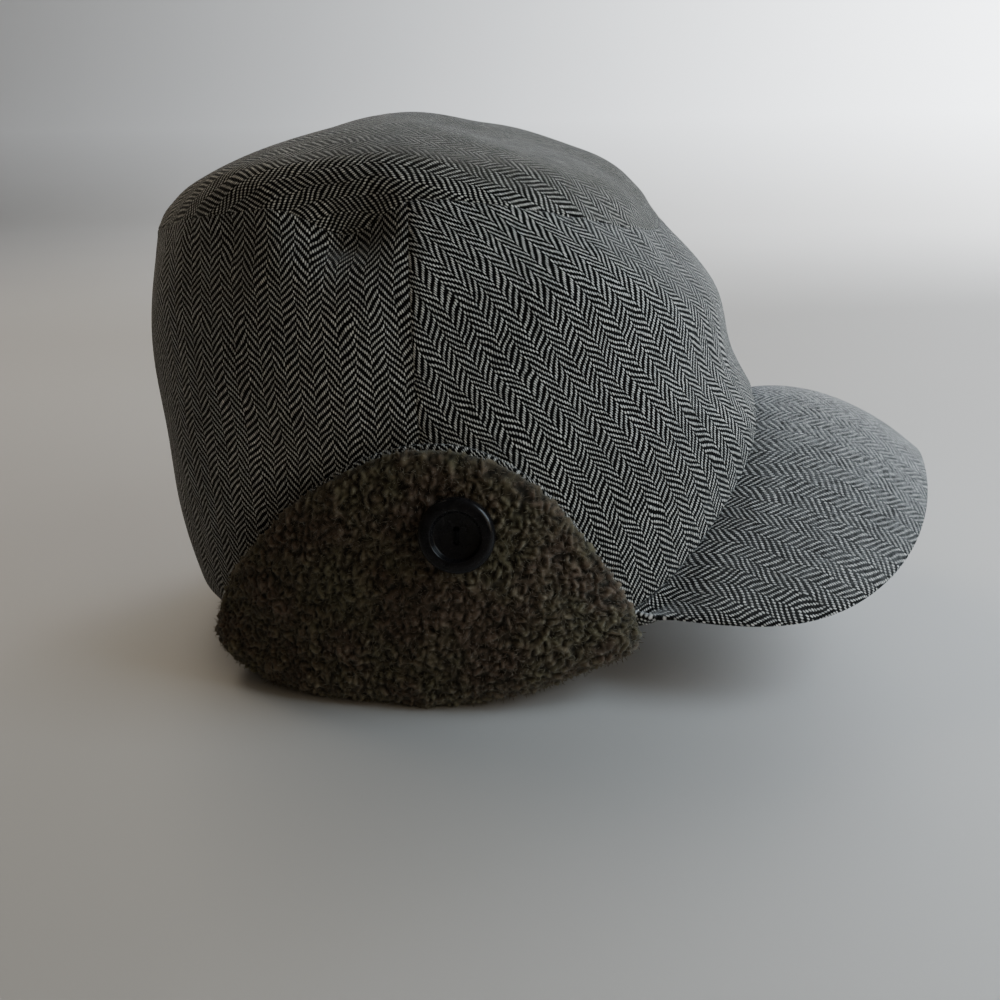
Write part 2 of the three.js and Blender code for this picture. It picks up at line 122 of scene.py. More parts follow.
# Outward normal from small steps round and up; the middle of the tip looks straight up
def crownNormal(angle, level):
    step = 0.01
    across = smoothCrown(angle + step, level) - smoothCrown(angle - step, level)
    low = np.maximum(level - step, 0)
    high = np.minimum(level + step, crown["topLevel"] - 0.001)
    along = smoothCrown(angle, high) - smoothCrown(angle, low)
    normal = unit(np.cross(across, along))
    isTop = np.broadcast_to(level > crown["topLevel"] - crown["topGap"], normal.shape[:-1])
    normal[isTop] = (0, 0, 1)
    return normal


# The smooth surface pressed in at the hollows and moved outwards by lift
def crownPoint(angle, level, lift=0.0):
    angle, level = np.broadcast_arrays(np.asarray(angle, float), np.asarray(level, float))
    point = smoothCrown(angle, level)
    inwards = -np.broadcast_to(lift, angle.shape).astype(float)
    for where, height, spreadAngle, spreadLevel, depth, drop in hollows:
        turn = (angle - where + 540) % 360 - 180
        weight = np.exp(-((turn / spreadAngle) ** 2 + ((level - height) / spreadLevel) ** 2))
        inwards = inwards + depth * weight
        point[..., 2] -= drop * weight
    return point - crownNormal(angle, level) * inwards[..., None]


# Height of the hem: high over the brow and a little raised behind, by squares of the cosine
def hemZ(angle):
    a = np.abs((angle + 180) % 360 - 180)
    front = np.cos(np.radians(np.minimum(hem["quicken"] * a, 90))) ** 2
    back = np.maximum(-np.cos(np.radians(a)), 0) ** 2
    return hem["sideZ"] + (hem["frontZ"] - hem["sideZ"]) * front + hem["backRise"] * back


# Level at which the wall reaches a height, by halving the range
def levelAtZ(angle, z):
    angle, z = np.broadcast_arrays(np.asarray(angle, float), np.asarray(z, float))
    low, high = np.zeros(z.shape), np.full(z.shape, float(crown["seamLevel"]))
    for _ in range(24):
        middle = (low + high) / 2
        below = smoothCrown(angle, middle)[..., 2] < z
        low, high = np.where(below, middle, low), np.where(below, high, middle)
    return (low + high) / 2


# Point beside the wall at a height, out along the level normal of the wall
def besideWall(angle, z, out):
    level = levelAtZ(angle, np.maximum(z, hem["sideZ"]))
    normal = crownNormal(np.broadcast_to(angle, level.shape), level)
    normal[..., 2] = 0
    point = smoothCrown(angle, level) + unit(normal) * np.asarray(out)[..., None]
    point[..., 2] = z
    return point


# Soft unevenness of cloth: a sum of plane waves in seeded directions, about -1 to 1
def softWaves(points, size, seed, count=14):
    rng = np.random.default_rng(seed)
    directions = unit(rng.normal(size=(count, 3)))
    lengths = size * rng.uniform(0.7, 1.6, count)
    phases = rng.uniform(0, 2 * np.pi, count)
    total = np.zeros(points.shape[:-1])
    for direction, length, phase in zip(directions, lengths, phases):
        total += np.sin(points @ direction * (2 * np.pi / length) + phase)
    return total / math.sqrt(count / 2) / 1.6


# Rows or columns over a length: close together at both ends where the cloth rolls over
def edgeSpacing(length, step, atStart=True, atEnd=True):
    roll = np.array([0, 0.12, 0.28, 0.5, 0.8, 1.15, 1.6, 2.2])
    start = roll if atStart else np.array([0.0])
    end = length - (roll if atEnd else np.array([0.0]))[::-1]
    count = max(int((end[0] - start[-1]) / step), 2)
    return np.concatenate([start, np.linspace(start[-1], end[0], count + 1)[1:-1], end]) / length


# Depth of the round roll of cloth at a distance from its edge
def rollDepth(distance, radius):
    rest = np.clip(1 - distance / radius, 0, 1)
    return radius * (1 - np.sqrt(1 - rest ** 2))


# Share of the full thickness at a distance from an edge, which is round within the radius
def roundEdge(distance, radius):
    rest = np.clip(1 - distance / radius, 0, 1)
    return np.sqrt(np.maximum(1 - rest ** 2, 0.02))


# Meshes

# A mesh from points in millimetres and arrays of faces; a closed one is turned to face outwards.
# Loose shells that already face outwards may be added to it.
def newMesh(name, points, faceGroups, uv=None, extra=None, values=None):
    points = np.asarray(points, float).reshape(-1, 3)
    cuts = [g[:, [0, k, k + 1]] for g in faceGroups for k in range(1, g.shape[1] - 1)]
    triangles = np.concatenate(cuts)
    a, b, c = (points[triangles[:, k]] for k in range(3))
    if np.einsum("ij,ij->i", a, np.cross(b, c)).sum() < 0:
        faceGroups = [g[:, ::-1] for g in faceGroups]
    if extra is not None:
        faceGroups = [*faceGroups, extra[1] + len(points)]
        points = np.concatenate([points, extra[0]])
    placed = (points + [shiftX, 0, 0]) * 0.001
    corners = np.concatenate([g.ravel() for g in faceGroups]).astype(np.int32)
    sizes = np.concatenate([np.full(len(g), g.shape[1]) for g in faceGroups])
    mesh = bpy.data.meshes.new(name)
    mesh.vertices.add(len(placed))
    mesh.vertices.foreach_set("co", placed.astype(np.float32).ravel())
    mesh.loops.add(len(corners))
    mesh.loops.foreach_set("vertex_index", corners)
    mesh.polygons.add(len(sizes))
    mesh.polygons.foreach_set("loop_start", (np.cumsum(sizes) - sizes).astype(np.int32))
    if uv is not None:
        layer = mesh.uv_layers.new(name="weave")
        layer.data.foreach_set("uv", np.asarray(uv, np.float32).reshape(-1, 2)[corners].ravel())
    for key, value in (values or {}).items():
        attribute = mesh.attributes.new(key, "FLOAT", "POINT")
        attribute.data.foreach_set("value", np.asarray(value, np.float32).ravel())
    mesh.update(calc_edges=True)
    mesh.validate()
    mesh.shade_smooth()
    return mesh


# A finished piece: its mesh in an object that rides on the cap and stands for a CAD node
def newPiece(name, mesh, material, node):
    piece = bpy.data.objects.new(name, mesh)
    scene.collection.objects.link(piece)
    mesh.materials.append(material)
    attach(piece, "root")
    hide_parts(node)
    print("piece", name, "faces", len(mesh.polygons))
    return piece


# Quads between neighbouring columns of point numbers; each column may be closed to a ring
def bandFaces(a, b, isClosed=True):
    if isClosed:
        a, b = np.column_stack([a, a[:, 0]]), np.column_stack([b, b[:, 0]])
    return np.stack([a[:, :-1], b[:, :-1], b[:, 1:], a[:, 1:]], -1).reshape(-1, 4)


# Closed loops of points side by side, each an outer and an inner side, with strips that close the
# first and the last loop. Where the inner side has fewer points, some faces are triangles.
def loopFaces(columns, outerCount, innerCount):
    ids = np.arange(columns * (outerCount + innerCount)).reshape(columns, -1)
    faces = [bandFaces(ids[:-1], ids[1:])]
    match = np.round(np.linspace(0, innerCount - 1, outerCount)).astype(int)
    isShared = match[:-1] == match[1:]
    for line, turn in ((ids[0], 1), (ids[-1], -1)):
        outer, inner = line[:outerCount], line[outerCount:][::-1][match]
        strip = np.stack([outer[:-1], outer[1:], inner[1:], inner[:-1]], -1)
        faces += [strip[isShared][:, [0, 1, 3]][:, ::turn], strip[~isShared][:, ::turn]]
    return faces


# Triangles between a closed line of point numbers and one more point
def fanFaces(line, middle):
    return np.stack([line, np.roll(line, -1), np.full(len(line), middle)], -1)


# Outer side of a sheet followed by its inner side, back along the same rows
def sheetLoop(outer, inner):
    return np.concatenate([outer, inner[:, ::-1]], axis=1)


# Piece of cloth from grids of its outer and inner side, and its weave map in millimetres
def clothPiece(name, node, material, outer, inner, weaveMap):
    columns, rows = weaveMap.shape[:2]
    faces = loopFaces(columns, rows, rows)
    mesh = newMesh(name, sheetLoop(outer, inner), faces, sheetLoop(weaveMap, weaveMap) * 0.001)
    newPiece(name, mesh, material, node)


# Shader helpers

# Sets a socket to a number or a colour, or links an output to it
def feed(tree, socket, value):
    if isinstance(value, (int, float)):
        socket.default_value = value
    elif isinstance(value, tuple):
        socket.default_value = (*value, 1)
    else:
        tree.links.new(value, socket)


# A node of one kind with its settings and with values for its inputs; gives its outputs
def newNode(tree, kind, values, **settings):
    node = tree.nodes.new("ShaderNode" + kind)
    for key, setting in settings.items():
        setattr(node, key, setting)
    for key, value in values.items():
        feed(tree, node.inputs[key], value)
    return node.outputs


def maths(tree, operation, *values):
    return newNode(tree, "Math", dict(enumerate(values)), operation=operation)[0]


def mapRange(tree, *values):
    return newNode(tree, "MapRange", dict(enumerate(values)))[0]


def combine(tree, *values):
    return newNode(tree, "CombineXYZ", dict(enumerate(values)))[0]


def mixColour(tree, factor, a, b, blend="MIX"):
    return newNode(tree, "Mix", {0: factor, 6: a, 7: b}, data_type="RGBA", blend_type=blend)[2]


# Colour times a value that changes over the surface
def toned(tree, colour, value):
    return mixColour(tree, 1.0, colour, combine(tree, value, value, value), "MULTIPLY")


def noise(tree, vector, scale, detail=2.0, roughness=0.5, distortion=0.0, output="Fac"):
    values = {"Vector": vector, "Scale": scale, "Detail": detail}
    values.update({"Roughness": roughness, "Distortion": distortion})
    return newNode(tree, "TexNoise", values)[output]


# A node group with named sockets; gives its tree, its inputs and its outputs
def newGroup(name, inputs, outputs):
    tree = bpy.data.node_groups.new(name, "ShaderNodeTree")
    for direction, sockets in (("INPUT", inputs), ("OUTPUT", outputs)):
        for key, kind in sockets.items():
            tree.interface.new_socket(key, in_out=direction, socket_type="NodeSocket" + kind)
    return tree, tree.nodes.new("NodeGroupInput").outputs, tree.nodes.new("NodeGroupOutput").inputs


# Herringbone as it is woven: a two-over-two twill that turns back after every few warp ends.
# A thread that lies on top shows as a rounded float two threads long, light warp or dark weft.
def herringboneGroup():
    tree, given, result = newGroup(
        "herringboneWeave",
        {"Vector": "Vector", "Thread Pitch": "Float", "Ends": "Float", "Unevenness": "Float",
         "Gap Shade": "Float", "Light Yarn": "Color", "Dark Yarn": "Color"},
        {"Color": "Color", "Height": "Float"})
    pitch, ends = given["Thread Pitch"], given["Ends"]

    def m(*values):
        return maths(tree, *values)

    u, v, _ = newNode(tree, "SeparateXYZ", {0: given["Vector"]})
    # slow pulls of the cloth over 25 and 8 mm, and the wobble of single threads
    for scale, amount in ((40, 0.0048), (125, 0.0018), (430, m("MULTIPLY", given["Unevenness"], pitch))):
        cloud = noise(tree, given["Vector"], scale, 1, output="Color")
        pushU, pushV, _ = newNode(tree, "SeparateColor", {0: cloud})
        u = m("ADD", u, m("MULTIPLY", m("SUBTRACT", pushU, 0.5), amount))
        v = m("ADD", v, m("MULTIPLY", m("SUBTRACT", pushV, 0.5), amount))
    across, along = m("DIVIDE", u, pitch), m("DIVIDE", v, pitch)
    end, pick = m("FLOOR", across), m("FLOOR", along)
    endShare, pickShare = m("FRACT", across), m("FRACT", along)
    stripe = m("FLOOR", m("DIVIDE", end, ends))
    inStripe = m("SUBTRACT", end, m("MULTIPLY", stripe, ends))
    isBack = m("MODULO", m("ABSOLUTE", stripe), 2)
    backwards = m("ADD", m("SUBTRACT", ends, inStripe), 1)
    phase = m("ADD", inStripe, m("MULTIPLY", isBack, m("SUBTRACT", backwards, inStripe)))
    step = m("FLOORED_MODULO", m("ADD", phase, pick), 4)
    isWarp = m("LESS_THAN", step, 1.5)
    # places in the float, 0 to 1 along it and across it
    warpAlong = m("MULTIPLY", m("ADD", step, pickShare), 0.5)
    turnBack = m("SUBTRACT", 1, m("MULTIPLY", endShare, 2))
    shareTurned = m("ADD", endShare, m("MULTIPLY", isBack, turnBack))
    weftAlong = m("MULTIPLY", m("ADD", m("SUBTRACT", step, 2), shareTurned), 0.5)
    lengthwise = m("ADD", weftAlong, m("MULTIPLY", isWarp, m("SUBTRACT", warpAlong, weftAlong)))
    sideways = m("ADD", pickShare, m("MULTIPLY", isWarp, m("SUBTRACT", endShare, pickShare)))

    def hump(value, power):
        centred = m("ABSOLUTE", m("SUBTRACT", m("MULTIPLY", value, 2), 1))
        return m("SUBTRACT", 1, m("POWER", centred, power))

    height = m("SQRT", m("MAXIMUM", m("MULTIPLY", hump(sideways, 1.25), hump(lengthwise, 2.2)), 0))
    # every float has its own brightness, and each yarn light and dark lengths
    floatRow = m("FLOOR", m("DIVIDE", m("ADD", phase, pick), 4))
    own = m("ADD", pick, m("MULTIPLY", isWarp, m("SUBTRACT", end, pick)))
    place = combine(tree, own, floatRow, m("ADD", stripe, isWarp))
    chance = newNode(tree, "TexWhiteNoise", {"Vector": place})["Value"]
    yarn = combine(tree, m("MULTIPLY", own, 3.7), m("DIVIDE", v, 0.007), m("DIVIDE", u, 0.03))
    yarnTone = mapRange(tree, noise(tree, yarn, 1.0), 0.3, 0.7, 0.75, 1.15)
    bright = m("MULTIPLY", mapRange(tree, chance, 0.0, 1.0, 0.62, 1.18), yarnTone)
    shade = m("MULTIPLY", bright, mapRange(tree, height, 0.25, 0.95, given["Gap Shade"], 1.0))
    colour = mixColour(tree, isWarp, given["Dark Yarn"], given["Light Yarn"])
    feed(tree, result["Color"], toned(tree, colour, shade))
    feed(tree, result["Height"], height)
    return tree


# Worn wool: fine hairs all over, and painted sheen, a paler colour in soft flecks where the cloth faces up
# and forwards, which hides the weave; slow changes of tone over it
def fuzzAndPaintedSheenGroup():
    tree, given, result = newGroup(
        "fuzzAndPaintedSheen",
        {"Color": "Color", "Vector": "Vector", "Facing": "Vector", "Fuzz": "Float",
         "Fuzz Colour": "Color", "Painted Sheen": "Float", "Painted Sheen Start": "Float", "Painted Sheen Colour": "Color",
         "Painted Sheen Dark": "Color"},
        {"Color": "Color", "Hairs": "Float"})
    where = given["Vector"]
    hairs = noise(tree, where, 5200, 3, 0.7, 1.5)
    hairShare = mapRange(tree, hairs, 0.5, 0.78, 0.0, given["Fuzz"])
    fuzzy = mixColour(tree, hairShare, given["Color"], given["Fuzz Colour"])
    flecks = mapRange(tree, noise(tree, where, 520, 3, 0.7, 1.5), 0.4, 0.6, 0.0, 1.0)
    sheenTone = mixColour(tree, flecks, given["Painted Sheen Dark"], given["Painted Sheen Colour"])
    forwards, _, upwards = newNode(tree, "SeparateXYZ", {0: given["Facing"]})
    # painted sheen: strongest where the cloth's normal faces up and forwards
    outward = maths(tree, "MULTIPLY_ADD", forwards, 0.35, upwards)
    sheenShare = mapRange(tree, outward, given["Painted Sheen Start"], 1.08, 0.0, given["Painted Sheen"])
    patches = mapRange(tree, noise(tree, where, 160, 3, 0.65), 0.35, 0.62, 0.5, 1.0)
    sheened = mixColour(tree, maths(tree, "MULTIPLY", sheenShare, patches), fuzzy, sheenTone)
    slow = mapRange(tree, noise(tree, where, 22, 3, 0.55), 0.3, 0.7, 0.86, 1.12)
    feed(tree, result["Color"], toned(tree, sheened, slow))
    feed(tree, result["Hairs"], hairs)
    return tree


herringbone = herringboneGroup()
fuzzAndPaintedSheen = fuzzAndPaintedSheenGroup()


# A material with its Principled shader, ready for nodes
def blankMaterial(name, **settings):
    material = bpy.data.materials.new(name)
    material.use_nodes = True
    tree = material.node_tree
    shader = tree.nodes["Principled BSDF"].inputs
    for key, value in settings.items():
        feed(tree, shader[key.replace("_", " ")], value)
    return material, tree, shader


def bump(tree, shader, height, distance, strength):
    values = {"Height": height, "Distance": distance, "Strength": strength}
    feed(tree, shader["Normal"], newNode(tree, "Bump", values)[0])


weaveLook = {
    "Thread Pitch": 0.00059, "Ends": 8, "Unevenness": 0.8, "Gap Shade": 0.03,
    "Light Yarn": (0.86, 0.86, 0.83), "Dark Yarn": (0.006, 0.006, 0.006),
}
sheenLook = {
    "Fuzz": 0.12, "Fuzz Colour": (0.20, 0.20, 0.19), "Painted Sheen": 0.95, "Painted Sheen Start": 0.75,
    "Painted Sheen Colour": (0.165, 0.17, 0.17), "Painted Sheen Dark": (0.055, 0.055, 0.055),
}


# Tweed: the weave on the piece's own map, with fine hairs and painted sheen over it; changes replace
# values above
def tweedMaterial(name, changes):
    material, tree, shader = blankMaterial(
        name, Roughness=0.92, Sheen_Weight=0.3, Sheen_Roughness=0.25, Sheen_Tint=(0.84, 0.87, 0.90),
        Specular_IOR_Level=0.08)

    def place(group, look, **links):
        values = {key: changes.get(key, value) for key, value in look.items()}
        return newNode(tree, "Group", {**values, **links}, node_tree=group)

    weaveMap = newNode(tree, "UVMap", {}, uv_map="weave")[0]
    coordinates = newNode(tree, "TexCoord", {})
    colour, height = place(herringbone, weaveLook, Vector=weaveMap)
    colour, hairs = place(fuzzAndPaintedSheen, sheenLook, Color=colour, Vector=coordinates["Object"],
                          Facing=coordinates["Normal"])
    feed(tree, shader["Base Color"], colour)
    bump(tree, shader, maths(tree, "MULTIPLY_ADD", hairs, 0.5, height), 0.00024, 0.9)
    return material


tweed = tweedMaterial("tweedCloth", {})
# Tip: a copy of the tweed with painted shade, a darker yarn and a darker painted sheen over more of it
tipTweedPaintedShade = tweedMaterial("tipTweedPaintedShade", {
    "Light Yarn": (0.84, 0.83, 0.78), "Painted Sheen Start": 0.60,
    "Painted Sheen Colour": (0.12, 0.118, 0.105), "Painted Sheen Dark": (0.038, 0.037, 0.034),
})
# Peak: a copy of the tweed with painted light, paler yarns and a much paler painted sheen
peakTweedPaintedLight = tweedMaterial("peakTweedPaintedLight", {
    "Dark Yarn": (0.03, 0.031, 0.032), "Light Yarn": (0.97, 0.97, 0.96), "Painted Sheen Start": 0.55,
    "Painted Sheen Colour": (0.46, 0.47, 0.48), "Painted Sheen Dark": (0.13, 0.132, 0.133),
})
print("tweed ready")

# Crown pieces

cloth = {
    "step": 1.6, "wallHeight": 115, "tipReach": 84, "tipGap": 2.2, "tipColumns": 330, "seamGap": 0.05,
    "roll": 0.9, "rollShare": 0.3, "hemRoll": 0.8, "hemInnerRoll": 0.7,
    "waves": 0.6, "waveSize": 46, "ripple": 0.4, "rippleSize": 12, "rippleReach": 9,
}

# A table of arc lengths round the crown from the front, by angle and level, so that the weave
# keeps its scale
arcTable = {"angles": 721, "angleStep": 0.5, "levels": 25, "levelStep": 0.2}
tableAngles = np.arange(arcTable["angles"]) * arcTable["angleStep"] - 180
tableLevels = np.linspace(1, arcTable["levels"], arcTable["levels"])[:, None] * arcTable["levelStep"]
ringArc = lengthsAlong(smoothCrown(tableAngles, tableLevels), 1)
ringArc -= ringArc[:, [arcTable["angles"] // 2]]


# Arc from the front at an angle and a level, by straight lines between the table's values
def arcAt(angle, level):
    a = np.clip((angle + 180) / arcTable["angleStep"], 0, arcTable["angles"] - 1.001)
    b = np.clip(level / arcTable["levelStep"] - 1, 0, arcTable["levels"] - 1.001)
    i, j = a.astype(int), b.astype(int)
    f, g = a - i, b - j
    low = ringArc[j, i] * (1 - f) + ringArc[j, i + 1] * f
    high = ringArc[j + 1, i] * (1 - f) + ringArc[j + 1, i + 1] * f
    return low * (1 - g) + high * g


# Lift of worn cloth: slow waves all over, and ripples that start at a seam and die away, longer
# upwards than sideways
def clothLift(angle, level, fromSeam):
    points = smoothCrown(angle, level)
    slow = softWaves(points, cloth["waveSize"], 11) * cloth["waves"]
    ripple = softWaves(points * [1, 1, 0.25], cloth["rippleSize"], 5) * cloth["ripple"]
    return slow * np.clip(fromSeam / 2.5, 0.25, 1) + ripple * np.exp(-fromSeam / cloth["rippleReach"])


# Outer and inner side of the crown's cloth; beside a seam the inner side is the plain wall's
def clothSides(angle, level, lift, thickness, fromSeam):
    follow = crownPoint(angle, level, np.minimum(lift, 0.4) * 0.3 - thickness)
    plain = crownPoint(angle, level, -crown["wall"])
    return crownPoint(angle, level, lift), np.where((fromSeam < 0.5)[..., None], plain, follow)


# Wall panel between two angles, from the hem to the tip's seam; flatMap gives its weave map from
# the length up the cloth, counted from the hem
def wallPanel(name, node, fromAngle, toAngle, flatMap):
    fine = np.linspace(fromAngle, toAngle, 1500)
    walk = lengthsAlong(smoothCrown(fine, 3.0))
    length = walk[-1]
    gapAngle = cloth["seamGap"] / 2 / length * (toAngle - fromAngle)
    share = edgeSpacing(length, cloth["step"])
    angle = np.interp(share * length, walk, fine)
    angle = np.clip(angle, fromAngle + gapAngle, toAngle - gapAngle)[:, None]
    side = np.minimum(share, 1 - share)[:, None] * length
    hemLevel = levelAtZ(angle, hemZ(angle))
    up = edgeSpacing(cloth["wallHeight"], cloth["step"])[None, :]
    level = hemLevel + (crown["seamLevel"] - 0.001 - hemLevel) * up
    angle = np.broadcast_to((angle + 180) % 360 - 180, level.shape)
    height = lengthsAlong(crownPoint(angle, level), 1)
    fromTop = height[:, -1:] - height
    lift = clothLift(angle, level, np.minimum(fromTop, side)) - rollDepth(height, cloth["hemRoll"])
    lift -= (rollDepth(fromTop, cloth["roll"]) + rollDepth(side, cloth["roll"])) * cloth["rollShare"]
    thickness = crown["wall"] - rollDepth(height, cloth["hemInnerRoll"])
    outer, inner = clothSides(angle, level, lift, thickness, fromTop)
    clothPiece(name, node, tweed, outer, inner, flatMap(angle, level, hemZ(angle) + height))


frontGrain = {"lean": 18, "settle": 45, "middleZ": 92}
backGrain = {"evenLevel": 2.6, "upright": 35, "blend": 1.5}


# Front panel: the grain is upright in the middle of the front and leans more and more to a
# steady angle towards each side seam, by a hyperbolic tangent of the arc from the middle
def frontMap(angle, level, height):
    arc = arcAt(angle, level)
    lean = np.radians(frontGrain["lean"]) * np.tanh(arc / frontGrain["settle"])
    c, s = np.cos(lean), np.sin(lean)
    rise = height - frontGrain["middleZ"]
    return np.stack([arc * c - rise * s, arc * s + rise * c], -1)


# Back panel: grain straight up beside the side seams, and evened out towards the middle, where
# the columns of one level are used at all heights
def backMap(angle, level, height):
    seam, side = crown["sideSeamAngle"], np.sign(angle)
    even = np.full_like(level, backGrain["evenLevel"])
    atLevel = np.abs(arcAt(angle, level)) - np.abs(arcAt(side * seam, level))
    atEven = np.abs(arcAt(angle, even)) - np.abs(arcAt(side * seam, even))
    half = arcAt(np.full_like(level, 180), even) - arcAt(np.full_like(level, seam), even)
    start = seam + backGrain["upright"]
    share = np.clip((np.abs(angle) - start) / (180 - start), 0, 1) ** backGrain["blend"]
    return np.stack([side * (half - atLevel * (1 - share) - atEven * share), height], -1)


seamAngle = crown["sideSeamAngle"]
wallPanel("frontWallCloth", "crown_front", -seamAngle, seamAngle, frontMap)
wallPanel("backWallCloth", "crown_back", seamAngle, 360 - seamAngle, backMap)


# Oval tip: rings from the seam inwards and one point in the middle, outside and inside.
# Its weave map keeps the length from the middle along each direction.
def tipPiece():
    columns = cloth["tipColumns"]
    fine = np.linspace(-180, 180, 1801)
    walk = lengthsAlong(smoothCrown(fine, 5.5))
    angle = np.interp(np.arange(columns) / columns * walk[-1], walk, fine)[:, None]
    start, end = crown["seamLevel"] + 0.001, crown["topLevel"] - crown["topGap"]
    up = edgeSpacing(cloth["tipReach"], cloth["step"], True, False)[None, :]
    angle, level = np.broadcast_arrays(angle, start + (end - start) * up)
    height = lengthsAlong(crownPoint(angle, level), 1)
    lift = clothLift(angle, level, height) * np.clip((crown["topLevel"] - level) / 0.8, 0, 1)
    lift -= rollDepth(height, cloth["roll"]) * cloth["rollShare"]
    outer, inner = clothSides(angle, level, lift, crown["wall"], height)
    flat = outer[..., :2] - outer[:, -1:, :2].mean(0)
    weaveMap = unit(flat)[..., ::-1] * (height[:, -1:] + cloth["tipGap"] - height)[..., None]
    rows = level.shape[1]
    total = columns * 2 * rows
    ids = np.arange(total).reshape(columns, 2 * rows)
    fromInside = np.roll(ids, rows, 1)
    faces = [bandFaces(fromInside, np.roll(fromInside, -1, 0), False),
             fanFaces(ids[:, rows - 1], total), fanFaces(ids[::-1, rows], total + 1)]
    middles = np.stack([outer[:, -1].mean(0), inner[:, -1].mean(0)]) + [0, 0, 0.05]
    points = np.concatenate([sheetLoop(outer, inner).reshape(-1, 3), middles])
    uv = np.concatenate([sheetLoop(weaveMap, weaveMap).reshape(-1, 2), np.zeros((2, 2))]) * 0.001
    newPiece("tipCloth", newMesh("tipCloth", points, faces, uv), tipTweedPaintedShade, "crown_top")


tipPiece()
print("crown ready")

# Peak

peak = {
    "cornerAngle": 54.2, "tipX": peakTipX, "tipZ": 62.8, "halfWidth": 80.6, "power": 2.95,
    "arch": 1.69, "crest": 7.5, "shoulder": 1.44, "rootGap": 0.8, "rootShare": 0.1,
    "cornerDrop": 5.5, "dropShare": 0.18,
    "thickness": 3.6, "edgeThinning": 0.55, "thinWidth": 7, "edgeRound": 1.1,
    "length": 230, "depth": 72, "step": 1.4, "keep": 0.985, "waves": 0.25, "waveSize": 40, "grainTurn": 5,
}


# Root under the crown's edge, then straight lines from it to the superellipse of the free edge,
# lifted in the middle by the crest and lowered towards the two corners
def peakSurface(u, v):
    def rootAt(angle, lift):
        return crownPoint(angle, levelAtZ(angle, hemZ(angle) - peak["rootGap"]), lift)

    angle = u * peak["cornerAngle"]
    root, under = rootAt(angle, 0), rootAt(angle, -crown["wall"])
    corner = rootAt(peak["cornerAngle"], 0)
    c, s = np.cos(u * np.pi / 2), np.sin(u * np.pi / 2)
    reach = (np.abs(c) ** peak["power"] + np.abs(s) ** peak["power"]) ** (-1 / peak["power"])
    swell = np.sin(np.minimum(c * peak["shoulder"], 1) * np.pi / 2)
    x = corner[0] + (peak["tipX"] - corner[0]) * c * reach
    y = (corner[1] + (peak["halfWidth"] - corner[1]) * swell) * s * reach
    fromMiddle = np.minimum(np.abs(y) / peak["halfWidth"], 1) ** peak["arch"]
    edge = np.stack([x, y, peak["tipZ"] + (corner[2] - peak["tipZ"]) * fromMiddle], -1)
    w = (v - peak["rootShare"]) / (1 - peak["rootShare"])
    point = root + (edge - root) * np.maximum(w, 0)[..., None]
    drop = peak["cornerDrop"] * np.exp(-((1 - np.abs(u)) / peak["dropShare"]) ** 2)
    point[..., 2] += np.where(w > 0, peak["crest"] * 4 * w * (1 - w) * c, 0)
    point[..., 2] -= drop * np.sin(np.clip(w * 2.5, 0, 1) * np.pi / 2)
    rootPart = under + (root - under) * np.clip(v / peak["rootShare"], 0, 1)[..., None]
    return np.where((w < 0)[..., None], rootPart, point)


# The peak's cloth laid flat. A line across its middle is unrolled with the bends that it has
# within the surface; each line from crown to edge keeps its length and its angle to that line.
def flatPeak(points):
    heights = lengthsAlong(points, 1)
    row = points.shape[1] // 2
    line = points[:, row]
    ruling = unit(points[:, -2] - points[:, row // 2])
    segment = np.diff(line, axis=0)
    tangent = unit(np.gradient(line, axis=0))
    normal = unit(np.cross(ruling, tangent))
    upright = normal[1:-1]
    before = segment[:-1] - upright * dot(segment[:-1], upright, True)
    after = segment[1:] - upright * dot(segment[1:], upright, True)
    turn = np.arctan2(dot(upright, np.cross(before, after)), dot(before, after))
    heading = np.concatenate([[0], np.cumsum(turn)])
    length = np.linalg.norm(segment, axis=1)
    steps = np.stack([np.cos(heading), np.sin(heading)], -1) * length[:, None]
    place = np.concatenate([[[0, 0]], np.cumsum(steps, axis=0)])
    atPoint = np.concatenate([heading[:1], (heading[1:] + heading[:-1]) / 2, heading[-1:]])
    direction = atPoint + np.arctan2(dot(normal, np.cross(tangent, ruling)), dot(tangent, ruling))
    out = np.stack([np.cos(direction), np.sin(direction)], -1)
    flat = place[:, None] + out[:, None] * (heights - heights[:, row:row + 1])[..., None]
    middle = len(points) // 2
    x, y = np.moveaxis(flat - flat[middle, row], -1, 0)
    turned = np.pi / 2 - direction[middle] + math.radians(peak["grainTurn"])
    c, s = np.cos(turned), np.sin(turned)
    return np.stack([x * c - y * s, x * s + y * c], -1)


# Peak: board and cloth below the surface, thinner towards the free edge and round along it
def peakPiece():
    u = (2 * edgeSpacing(peak["length"], peak["step"]) - 1) * peak["keep"]
    u, v = np.meshgrid(u, edgeSpacing(peak["depth"], peak["step"]), indexing="ij")
    middle = peakSurface(u, v)
    step = 0.004
    alongU = peakSurface(np.minimum(u + step, 0.999), v) - peakSurface(u - step, v)
    alongV = peakSurface(u, np.minimum(v + step, 1)) - peakSurface(u, np.maximum(v - step, 0))
    normal = unit(np.cross(alongV, alongU))
    normal = np.where((normal[..., 2:3] > 0), normal, -normal)
    across, height = lengthsAlong(middle), lengthsAlong(middle, 1)
    fromSide = np.minimum(across, across[-1:] - across)
    fromEdge = np.minimum(height[:, -1:] - height, fromSide)
    full = np.clip(fromEdge / peak["thinWidth"], 0, 1)
    half = peak["thickness"] / 2 * (peak["edgeThinning"] + (1 - peak["edgeThinning"]) * full)
    relief = softWaves(middle, peak["waveSize"], 21) * peak["waves"] * np.clip(fromEdge / 4, 0, 1)
    rounded = half * roundEdge(fromEdge, peak["edgeRound"])
    centre = middle - normal * half[..., None]
    outer = centre + normal * (rounded + relief)[..., None]
    inner = centre - normal * rounded[..., None]
    clothPiece("peakCloth", "peak", peakTweedPaintedLight, outer, inner, flatPeak(middle))


peakPiece()
print("peak ready")

# Earflaps

